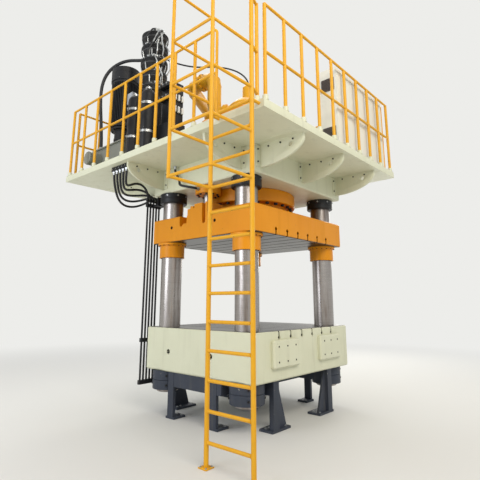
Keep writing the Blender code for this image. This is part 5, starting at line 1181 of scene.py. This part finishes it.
# thin pipes and hoses that run over the tower from one union to another
tangle = {"lines": 12, "seed": 11, "from": 3.95, "to": 5.35, "stand": 0.272, "swing": 0.75, "radius": 0.0115,
          "hose": 0.0145, "bend": 0.035, "start": 0.151, "union": 0.225, "below": 0.034}
draw = random.Random(tangle["seed"])
tangled, marks = {"zinc": [], "rubber": []}, []
for k in range(tangle["lines"]):
    first = draw.choice((0, 0, 0, 1, 1, 2))
    last = first + draw.choice((1, 1, 2))
    start = draw.uniform(tangle["from"], tangle["to"])
    swing = draw.uniform(-tangle["swing"], tangle["swing"])
    stand = tangle["stand"] + draw.uniform(0.0, 0.03)
    highLevel, lowLevel = (towerTop - pitch * i - tangle["below"] for i in (first, last))
    route = []
    for share, reach in ((0, tangle["start"]), (0.02, tangle["union"]), (0.22, stand), (0.78, stand),
                         (0.98, tangle["union"]), (1, tangle["start"])):
        along = min(max((share - 0.02) / 0.96, 0), 1)
        level = highLevel + (lowLevel - highLevel) * along
        route.append(towerFoot + spoke(start + swing * along) * reach + rise(level))
    tangled["rubber" if k % 3 == 2 else "zinc"].append(route)
    marks += [(end - spoke(angle) * 0.012, spoke(angle))
              for end, angle in ((route[1], start), (route[-2], start + swing))]
pieces += [bars("tangledPipes", tangled["zinc"], tangle["radius"], zincPlate, tangle["bend"], 10),
           bars("tangledHoses", tangled["rubber"], tangle["hose"], hoseRubber, tangle["bend"], 10),
           bolts("tangleUnions", marks, 0.042, zincPlate)]
headLoops = []
for angle in evenAngles(tower["headLines"]):  # short looped lines over the tower's head
    way, across = spoke(angle), spoke(angle + math.pi / 2)
    foot = towerFoot + way * 0.075 + rise(towerTop - 0.032)
    headLoops.append([foot, foot + rise(0.022), foot + way * 0.07 + across * 0.03 + rise(0.018),
                      foot + way * 0.125 + across * 0.06 - rise(0.02),
                      foot + way * 0.10 + across * 0.08 - rise(0.09)])
headPlate, plateTop, plateLow = tower["headPlate"], towerTop - 0.018, towerTop - 0.031
plateProfile = [(0, plateTop), (headPlate - 0.003, plateTop), (headPlate, plateTop - 0.003),
                (headPlate, plateLow), (0, plateLow)]
pieces += [bars("headLines", headLoops, 0.011, zincPlate, 0.03, 10),
           turned("headPlate", plateProfile, towerFoot, zincPlate, 32)]

pilot = {"left": -1.48, "right": -1.26, "front": 0.33, "back": 0.60, "height": 0.72, "coil": 0.033,
         "rows": 2, "columns": 3, "pitchY": 0.09, "rowDrop": 0.21, "plugTop": 4.865, "plugDrop": 0.205,
         "plugPitch": 0.073}
pieces.append(block("pilotBlock", at(pilot["left"], pilot["front"], blockHigh - 0.001),
                    at(pilot["right"], pilot["back"], blockHigh + pilot["height"]), blackEnamel, 0.005, 2))
nutProfile = [(0, 0.012), (0.012, 0.012), (0.014, 0.010), (0.014, 0), (0, 0)]
for row in range(pilot["rows"]):
    level = blockHigh + pilot["height"] - 0.07 - row * pilot["rowDrop"]
    plugLevel = pilot["plugTop"] - row * pilot["plugDrop"]
    for column in range(pilot["columns"]):
        y, half = pilot["front"] + pilot["pitchY"] * (column + 0.5), pilot["coil"]
        x = pilot["left"] + pilot["plugPitch"] * (column + 0.5)
        pieces += [block("coil", at(-1.575, y - half, level - half), at(-1.479, y + half, level + half),
                         mouldedBlack, 0.004, 2),
                   turned("coilNut", nutProfile, at(-1.575, y, level + 0.006), zincPlate, 16, leftward),
                   block("plugSeat", at(x - 0.026, 0.322, plugLevel - 0.062),
                         at(x + 0.026, 0.331, plugLevel + 0.062),
                         blackedSteel, 0.002, 1),
                   block("plug", at(x - 0.017, 0.290, plugLevel - 0.052),
                         at(x + 0.017, 0.323, plugLevel + 0.052),
                         mouldedWhite, 0.005, 2)]
cartridges = {"y": (0.40, 0.62, 0.84, 1.06), "rise": 0.20, "radius": 0.056, "length": 0.03,
              "screwCircle": 0.038}
plugs = {"y": (0.31, 0.53, 0.73, 0.95, 1.21), "edge": 0.05}
marks = []
for y in cartridges["y"]:
    spot = at(manifold["left"], y, blockLow + cartridges["rise"])
    radius, length = cartridges["radius"], cartridges["length"]
    profile = [(0, length), (radius - 0.006, length), (radius, length - 0.006), (radius, 0), (0, 0)]
    pieces.append(turned("cartridge", profile, spot, blackedSteel, 40, leftward))
    marks += boltCircle(spot + Vector(leftward) * length, cartridges["screwCircle"], 4, leftward,
                        math.pi / 4)
marks += [(at(manifold["left"], y, z), leftward) for y in plugs["y"]
          for z in (blockHigh - plugs["edge"], blockLow + plugs["edge"])]
pieces.append(bolts("blockBolts", marks, 0.016, blackedSteel, "socket"))
gauges = {"x": -1.50, "y": (0.72, 0.86), "rise": 0.075,
          "stem": [(0, 0.05), (0.009, 0.05), (0.009, 0), (0, 0)],
          "case": [(0.033, 0.030), (0.037, 0.030), (0.040, 0.027), (0.040, 0.003), (0.037, 0), (0, 0),
                   (0, 0.02), (0.033, 0.02)],
          "dial": [(0, 0.0225), (0.0328, 0.0225), (0.0328, 0.0195), (0, 0.0195)]}
for y in gauges["y"]:  # two pressure gauges with blank dials
    spot = at(gauges["x"], y, blockHigh + gauges["rise"])
    pieces += [turned("gaugeStem", gauges["stem"], at(gauges["x"], y, blockHigh - 0.003), zincPlate, 6),
               turned("gaugeCase", gauges["case"], spot, blackedSteel, 40, leftward),
               turned("gaugeDial", gauges["dial"], spot, mouldedWhite, 40, leftward),
               block("gaugeHand", spot + Vector((-0.0245, -0.0015, -0.006)),
                     spot + Vector((-0.023, 0.0015, 0.026)), mouldedBlack, 0)]
build("valveManifold", pieces, "press", "black_paint", "valve_manifold")
print("accumulators and manifold ready")

# ---- oil tank fittings
tank = {"left": -1.58, "right": 1.20, "front": 1.52, "back": 2.50, "low": 3.955, "top": 4.425,
        "lidBolts": 17, "covers": (0.45, -1.18), "cover": 0.16, "coverLevel": 4.17, "gaugeX": -0.20,
        "breather": (0.20, 2.30), "wallBars": 6, "filter": (-1.82, 2.28, 4.195)}
tankFront, tankBack, gaugeX = tank["front"] - 0.0003, tank["back"] + 0.0003, tank["gaugeX"]


def spread(first, last, count):
    return [first + i * (last - first) / (count - 1) for i in range(count)]


marks = []
for x in spread(tank["left"] + 0.03, tank["right"] - 0.03, tank["lidBolts"]):
    marks += [(at(x, y, tank["top"] + 0.0003), upward)
              for y in (tank["front"] - 0.008, tank["back"] + 0.008)]
pieces = [bolts("lidBolts", marks, 0.018, blackedSteel)]
radius = tank["cover"]
coverProfile = [(0, 0.018), (radius - 0.006, 0.018), (radius, 0.012), (radius, 0), (0, 0)]
for x in tank["covers"]:  # cleaning covers on the front wall
    spot = at(x, tankFront, tank["coverLevel"])
    marks = boltCircle(spot + Vector(frontward) * 0.018, radius - 0.025, 10, frontward)
    pieces += [turned("cleaningCover", coverProfile, spot, tankEnamel, 48, frontward),
               bolts("coverBolts", marks, 0.018, blackedSteel)]
breatherFoot, filterSpot = at(*tank["breather"], 0), at(*tank["filter"])
breather = [(0, 4.60), (0.05, 4.60), (0.062, 4.588), (0.062, 4.505), (0.055, 4.498), (0, 4.498)]
pieces += [block("levelBody", at(gaugeX - 0.022, tank["front"] - 0.026, 4.06),
                 at(gaugeX + 0.022, tankFront, 4.34),
                 mouldedBlack, 0.005, 2),
           block("levelGlass", at(gaugeX - 0.008, tank["front"] - 0.030, 4.10),
                 at(gaugeX + 0.008, tank["front"] - 0.024, 4.30), mouldedWhite, 0.003, 2),
           turned("breatherPipe", [(0, 4.50), (0.028, 4.50), (0.028, 4.4255), (0, 4.4255)], breatherFoot,
                  zincPlate, 24),
           turned("breather", breather, breatherFoot, blackEnamel, 36)]
for x in spread(tank["left"] + 0.18, tank["right"] - 0.18, tank["wallBars"]):  # stiffeners of the back wall
    pieces.append(block("wallBar", at(x - 0.006, tankBack, tank["low"] + 0.012),
                        at(x + 0.006, tank["back"] + 0.028, tank["top"] - 0.022), tankEnamel, 0.002, 1))
filterCap = [(0, 0.026), (0.05, 0.026), (0.108, 0.018), (0.122, 0.014), (0.122, -0.02), (0.1205, -0.022),
             (0, -0.022)]
filterMarks = boltCircle(filterSpot + Vector((0.011, 0, 0)), 0.112, 8, leftward)
pieces += [turned("filterCap", filterCap, filterSpot + Vector((0.027, 0, 0)), tankEnamel, 40, leftward),
           bolts("filterBolts", filterMarks, 0.014, blackedSteel)]
build("tankFittings", pieces, "press", "tank_grey")

# ---- cabinet: louvred panels on its left side, frame and fasteners on its front, hinges at its doors
caseBox = {"left": -0.04, "right": 1.62, "front": -1.78, "back": -1.50, "low": 3.8953, "top": 5.1953,
           "border": 0.05, "band": 0.68, "bandHalf": 0.06, "fasteners": 4, "doorLow": 0.36, "doorTop": 0.06}
vents = {"levels": (4.03, 4.83), "height": 0.20, "inset": 0.035, "slats": 7, "pitch": 0.025, "tilt": -38}
pieces = []
for low in vents["levels"]:
    x, high = caseBox["left"], low + vents["height"]
    front, back = caseBox["front"] + vents["inset"], caseBox["back"] - vents["inset"]
    rim = [at(x - 0.006, y, z)
           for y, z in ((front, low), (back, low), (back, high), (front, high), (front, low))]
    pieces += [block("ventSheet", at(x - 0.003, front, low), at(x - 0.0003, back, high), ventGrey, 0),
               bars("ventRim", [rim], 0.006, ventGrey, 0, 8)]
    for i in range(vents["slats"]):
        z = low + (i + 1) * vents["pitch"]
        slat = block("slat", at(x - 0.014, front + 0.012, z - 0.0015),
                     at(x - 0.002, back - 0.012, z + 0.0015), ventGrey, 0)
        centre = at(x - 0.008, (front + back) / 2, z)
        tilt = Matrix.Rotation(math.radians(vents["tilt"]), 4, "Y")
        slat.data.transform(Matrix.Translation(centre) @ tilt @ Matrix.Translation(-centre))
        pieces.append(slat)
    marks = [(at(x - 0.003, y, z), leftward) for y in (front + 0.008, back - 0.008)
             for z in (low + 0.01, high - 0.01)]
    pieces.append(bolts("ventScrews", marks, 0.008, zincPlate, "socket"))
left, right, border = caseBox["left"] + 0.012, caseBox["right"] - 0.012, caseBox["border"]
face = caseBox["front"] - 0.0003
bottom, head, band = caseBox["low"] + 0.012, caseBox["top"] - 0.012, caseBox["low"] + caseBox["band"]
inLeft, inRight, half = left + border + 0.001, right - border - 0.001, caseBox["bandHalf"]
for x, z, toX, toZ in ((left, bottom, left + border, head), (right - border, bottom, right, head),
                       (inLeft, head - border, inRight, head), (inLeft, bottom, inRight, bottom + border),
                       (inLeft, band - half, inRight, band + half)):
    pieces.append(block("frontFrame", at(x, face - 0.006, z), at(toX, face, toZ), powderCoat, 0.002, 1))
fastener = [(0, 0.007), (0.016, 0.007), (0.021, 0.004), (0.021, 0), (0, 0)]
for x in spread(left + 0.20, right - 0.20, caseBox["fasteners"]):  # one for each panel of the front
    spot = at(x, face - 0.006, band)
    pieces += [turned("panelFastener", fastener, spot, mouldedBlack, 24, frontward),
               block("fastenerSlot", spot + Vector((-0.010, -0.009, -0.002)),
                     spot + Vector((0.010, -0.0068, 0.002)), zincPlate, 0)]
doorLow, doorHigh = caseBox["low"] + caseBox["doorLow"], caseBox["top"] - caseBox["doorTop"]
doorFace = caseBox["back"] + 0.0003
barrel = [(0, 0.04), (0.005, 0.04), (0.007, 0.038), (0.007, 0.001), (0.0055, 0), (0.007, -0.001),
          (0.007, -0.038), (0.005, -0.04), (0, -0.04)]
for x in (caseBox["left"] + 0.018, caseBox["right"] - 0.018):
    for z in (doorLow + 0.10, (doorLow + doorHigh) / 2, doorHigh - 0.10):
        pieces.append(turned("hingeBarrel", barrel, at(x, doorFace + 0.008, z), blackedSteel, 20))
seams = [[at(x, y, caseBox["top"]) for x in (caseBox["left"] + 0.02, caseBox["right"] - 0.02)]
         for y in (caseBox["front"] + 0.02, caseBox["back"] - 0.02)]
pieces.append(bars("roofSeam", seams, 0.003, powderCoat, sides=8))
build("cabinetFittings", pieces, "press", "cabinet_white")
print("tank and cabinet fittings ready")

# ---- hoses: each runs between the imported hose's own ports on the easiest bend
hoseSizes = {"stub": 0.05, "spans": 35, "hold": 0.06, "rounds": 3, "fine": 400, "sides": 16}


def spaced(points, count, margin):
    # the same line as evenly spaced points, without a margin at both ends
    run = np.concatenate(([0], np.cumsum(np.linalg.norm(np.diff(points, axis=0), axis=1))))
    places = np.linspace(margin, run[-1] - margin, count)
    return np.array([np.interp(places, run, points[:, axis]) for axis in range(3)]).T


def hoseLine(start, startWay, route, end, endWay):
    # straight out of both ports, and between them the easiest bend that stays near the route
    start, end, startWay, endWay = (np.array(item, float) for item in (start, end, startWay, endWay))
    stub, hold = hoseSizes["stub"], hoseSizes["hold"]
    feet = [start + startWay * stub, end + endWay * stub]
    line = spaced(np.vstack([start, feet[0], route, feet[1], end]), hoseSizes["fine"], 0)
    for _ in range(hoseSizes["rounds"]):
        middle = spaced(line, hoseSizes["spans"] + 1, stub)
        gap = np.linalg.norm(middle[1] - middle[0])
        knots = np.vstack([start + startWay * (stub - gap), feet[0], middle[1:-1], feet[1],
                           end + endWay * (stub - gap)])
        size = len(knots)
        bend = np.zeros((size - 2, size))
        for i in range(size - 2):
            bend[i, i:i + 3] = (1, -2, 1)
        free, held = slice(2, size - 2), [0, 1, size - 2, size - 1]
        stiffness = bend[:, free].T @ bend[:, free] + hold * np.eye(size - 4)
        pull = hold * knots[free] - bend[:, free].T @ (bend[:, held] @ knots[held])
        line = np.vstack([start, feet[0], np.linalg.solve(stiffness, pull), feet[1], end])
    return [at(*point) for point in line]


def union(name, tip, way, radius, material):
    # a crimped sleeve and a hexagon nut round the end of a hose
    inner = radius + 0.0003
    sleeve = [(inner, 0.052), (inner * 1.16, 0.052), (inner * 1.24, 0.048), (inner * 1.24, 0.024),
              (inner, 0.024)]
    nut = [(inner, 0.024), (inner * 1.5, 0.024), (inner * 1.62, 0.020), (inner * 1.62, 0.0005),
           (inner, 0.0005)]
    return build(name,
                 [turned("sleeve", sleeve, tip, material, 24, way),
                  turned("nut", nut, tip, material, 6, way)],
                 "press", "ground_steel")


def hose(name, line, diameter, node, startUnion=zincPlate, endUnion=zincPlate):
    tube = settle(bars(name, [line], diameter / 2, hoseRubber, sides=hoseSizes["sides"]), "press",
                  "hose_rubber", node)
    unions = [union(name + "_startUnion", line[0], line[1] - line[0], diameter / 2, startUnion),
              union(name + "_endUnion", line[-1], line[-2] - line[-1], diameter / 2, endUnion)]


# the deck hoses leave a header block side by side and end in a collar block below it
header = {"x": -1.84, "front": 0.92, "back": 1.34, "low": 3.7147, "top": 3.7847, "half": 0.035,
          "screwLevel": 3.752}
deckHoses = {"count": 5, "diameter": 0.038, "firstPort": 0.035, "spread": 0.35, "endX": -1.19,
             "endPitch": 0.06, "endY": 1.26, "endLevel": 3.3303,
             "firstRoute": ((-1.834, 0.967, 3.605), (-1.801, 1.024, 3.517), (-1.735, 1.104, 3.48),
                            (-1.65, 1.169, 3.5), (-1.558, 1.204, 3.552), (-1.457, 1.214, 3.595),
                            (-1.347, 1.219, 3.592), (-1.255, 1.236, 3.528), (-1.201, 1.255, 3.432)),
             "lastRoute": ((-1.8, 1.349, 3.561), (-1.702, 1.455, 3.47), (-1.593, 1.569, 3.405),
                           (-1.471, 1.674, 3.346), (-1.325, 1.752, 3.301), (-1.158, 1.762, 3.301),
                           (-1.03, 1.669, 3.35), (-0.973, 1.521, 3.405), (-0.952, 1.354, 3.43))}
portPitch = deckHoses["spread"] / (deckHoses["count"] - 1)
ports = [header["front"] + deckHoses["firstPort"] + i * portPitch for i in range(deckHoses["count"])]
for i, y in enumerate(ports):
    share = i / (deckHoses["count"] - 1)
    route = [Vector(first).lerp(Vector(last), share)
             for first, last in zip(deckHoses["firstRoute"], deckHoses["lastRoute"])]
    end = (deckHoses["endX"] + deckHoses["endPitch"] * i, deckHoses["endY"], deckHoses["endLevel"])
    hose("deckHose_%d" % (i + 1), hoseLine((header["x"], y, header["low"]), downward, route, end, upward),
         deckHoses["diameter"], "hose_bundle", zincPlate, blackedSteel)
marks = [(at(header["x"] - header["half"] - 0.0002, y, header["screwLevel"]), leftward) for y in ports]
pieces = [block("headerBlock", at(header["x"] - header["half"], header["front"], header["low"] + 0.0003),
                at(header["x"] + header["half"], header["back"], header["top"]), blackEnamel, 0.004, 2),
          block("collarBlock", at(-1.215, 1.235, 3.3306), at(-0.925, 1.285, 3.3606), blackEnamel, 0.003, 2),
          bolts("headerBolts", marks, 0.018, zincPlate, "socket")]
build("hoseHeader", pieces, "press", "hose_rubber", "hose_bundle")
singleHoses = {  # diameter, node, union at the start, then start, way out, route, end and way out
               "crownHose": (0.038, "crown_hose", zincPlate, (-1.24, 0.50, 3.7847), downward,
                             ((-1.236, 0.489, 3.687), (-1.227, 0.439, 3.602), (-1.246, 0.378, 3.527),
                              (-1.294, 0.319, 3.463), (-1.346, 0.252, 3.412), (-1.375, 0.166, 3.373),
                              (-1.353, 0.074, 3.347), (-1.279, 0.012, 3.334)),
                             (-1.1815, 0, 3.3325), leftward),
               "pilotHose": (0.028, "pilot_hose", mouldedWhite, (0, 0, 5.5206), upward,
                             ((0, 0, 5.66), (-0.16, 0.12, 5.80), (-0.45, 0.35, 5.86), (-0.75, 0.65, 5.82),
                              (-0.98, 0.95, 5.95)),
                             (-1.1148, 1.04, 5.9946), (1, 0, 0)),
               "pumpHose": (0.06, "pump_hose", zincPlate, (-1.54, 2.32, 4.4256), upward,
                            ((-1.54, 2.33, 4.60), (-1.61, 2.31, 5.30), (-1.64, 2.27, 5.84),
                             (-1.51, 2.12, 6.14), (-1.35, 1.86, 6.18), (-1.33, 1.56, 6.11)),
                            (-1.35, 1.2752, 5.9946), (0, 1, 0)),
               }
for name, (diameter, node, startUnion, *run) in singleHoses.items():
    hose(name, hoseLine(*run), diameter, node, startUnion)
print("hoses ready")

# ---- the modelled heads were only patterns
for head in heads.values():
    bpy.data.objects.remove(head)

# ---- stage: a pale floor under a pale, even room
def floorMaterial(name, colour, far):
    # a pale floor that takes the press's shadow and runs over into the room's own tone further out
    material, tree, shader, where = surfaceTree(name, 0.85)
    shader.inputs["Base Color"].default_value = srgb(colour)
    reach = addNode(tree, "ShaderNodeVectorMath", {"operation": "LENGTH"}, {0: where}).outputs["Value"]
    fade = addNode(tree, "ShaderNodeMapRange", {"interpolation_type": "SMOOTHSTEP"},
                   {"Value": reach, "From Min": 4.5, "From Max": 13.0})
    glow = addNode(tree, "ShaderNodeEmission", None, {"Color": srgb(far)})
    both = addNode(tree, "ShaderNodeMixShader", None,
                   {0: fade.outputs["Result"], 1: shader.outputs["BSDF"], 2: glow.outputs["Emission"]})
    tree.links.new(both.outputs["Shader"], tree.nodes["Material Output"].inputs["Surface"])
    return material


floorForm = bmesh.new()
bmesh.ops.create_grid(floorForm, x_segments=1, y_segments=1, size=60,
                      matrix=Matrix.Translation((0, 0, -0.001)))
floor = dress(fromForm("floor", floorForm), floorMaterial("paleFloor", "#DDDCD7", "#EDEDEA"))

world = bpy.data.worlds.new("paleRoom")
scene.world = world
world.use_nodes = True
tree = world.node_tree
tree.nodes.clear()
paths = addNode(tree, "ShaderNodeLightPath").outputs
seen = paths["Is Camera Ray"]
for ray in ("Is Glossy Ray", "Is Transmission Ray"):
    seen = addNode(tree, "ShaderNodeMath", {"operation": "MAXIMUM"}, {0: seen, 1: paths[ray]}).outputs[0]
ambient = addNode(tree, "ShaderNodeBackground", None, {"Color": srgb("#F2F4F7"), "Strength": 0.62})
backdrop = addNode(tree, "ShaderNodeBackground", None, {"Color": srgb("#EDEDEA"), "Strength": 1.0})
both = addNode(tree, "ShaderNodeMixShader", None,
               {0: seen, 1: ambient.outputs["Background"], 2: backdrop.outputs["Background"]})
addNode(tree, "ShaderNodeOutputWorld", None, {"Surface": both.outputs["Shader"]})


def softLamp(name, place, target, size, power, colour):
    lamp = bpy.data.lights.new(name, "AREA")
    lamp.shape = "RECTANGLE"
    lamp.size, lamp.size_y = size
    lamp.energy = power
    lamp.color = srgb(colour)[:3]
    holder = bpy.data.objects.new(name, lamp)
    holder.location = place
    holder.rotation_euler = (Vector(target) - Vector(place)).to_track_quat("-Z", "Y").to_euler()
    scene.collection.objects.link(holder)


lamps = {  # place, target, size in metres, power in watts and colour
         "keyLamp": ((-4.0, -9.0, 8.5), (0.5, 0, 2.6), (6, 4), 640, "#FFF8EC"),
         "fillLamp": ((-9.5, 1.0, 4.5), (0, 0, 2.4), (5, 5), 330, "#F1F5FF"),
         "topLamp": ((3.0, 4.0, 11.0), (0.5, 0, 3.5), (7, 7), 430, "#FFFFFF"),
         "rightLamp": ((9.5, 1.5, 5.5), (0.5, 0, 2.5), (4, 5), 260, "#FFFDF6"),
         }
for name, values in lamps.items():
    softLamp(name, *values)

# ---- camera at the photograph's place
cameraValues = {"place": (-5.3755, -4.5374, 1.650), "yaw": 0.7214, "pitch": 0.2065, "lens": 31.33,
                "shiftX": -0.0012, "shiftY": -0.0535}
cameraData = bpy.data.cameras.new("photoCamera")
cameraData.sensor_fit = "HORIZONTAL"
cameraData.sensor_width = 36
cameraData.lens = cameraValues["lens"]
cameraData.shift_x = cameraValues["shiftX"]
cameraData.shift_y = cameraValues["shiftY"]
cameraData.clip_end = 200
camera = bpy.data.objects.new("photoCamera", cameraData)
camera.location = at(*cameraValues["place"])
camera.rotation_euler = (math.pi / 2 + cameraValues["pitch"], 0, cameraValues["yaw"] - math.pi / 2)
scene.collection.objects.link(camera)
scene.camera = camera
scene.view_settings.view_transform = "Standard"
print("stage, light and camera ready")
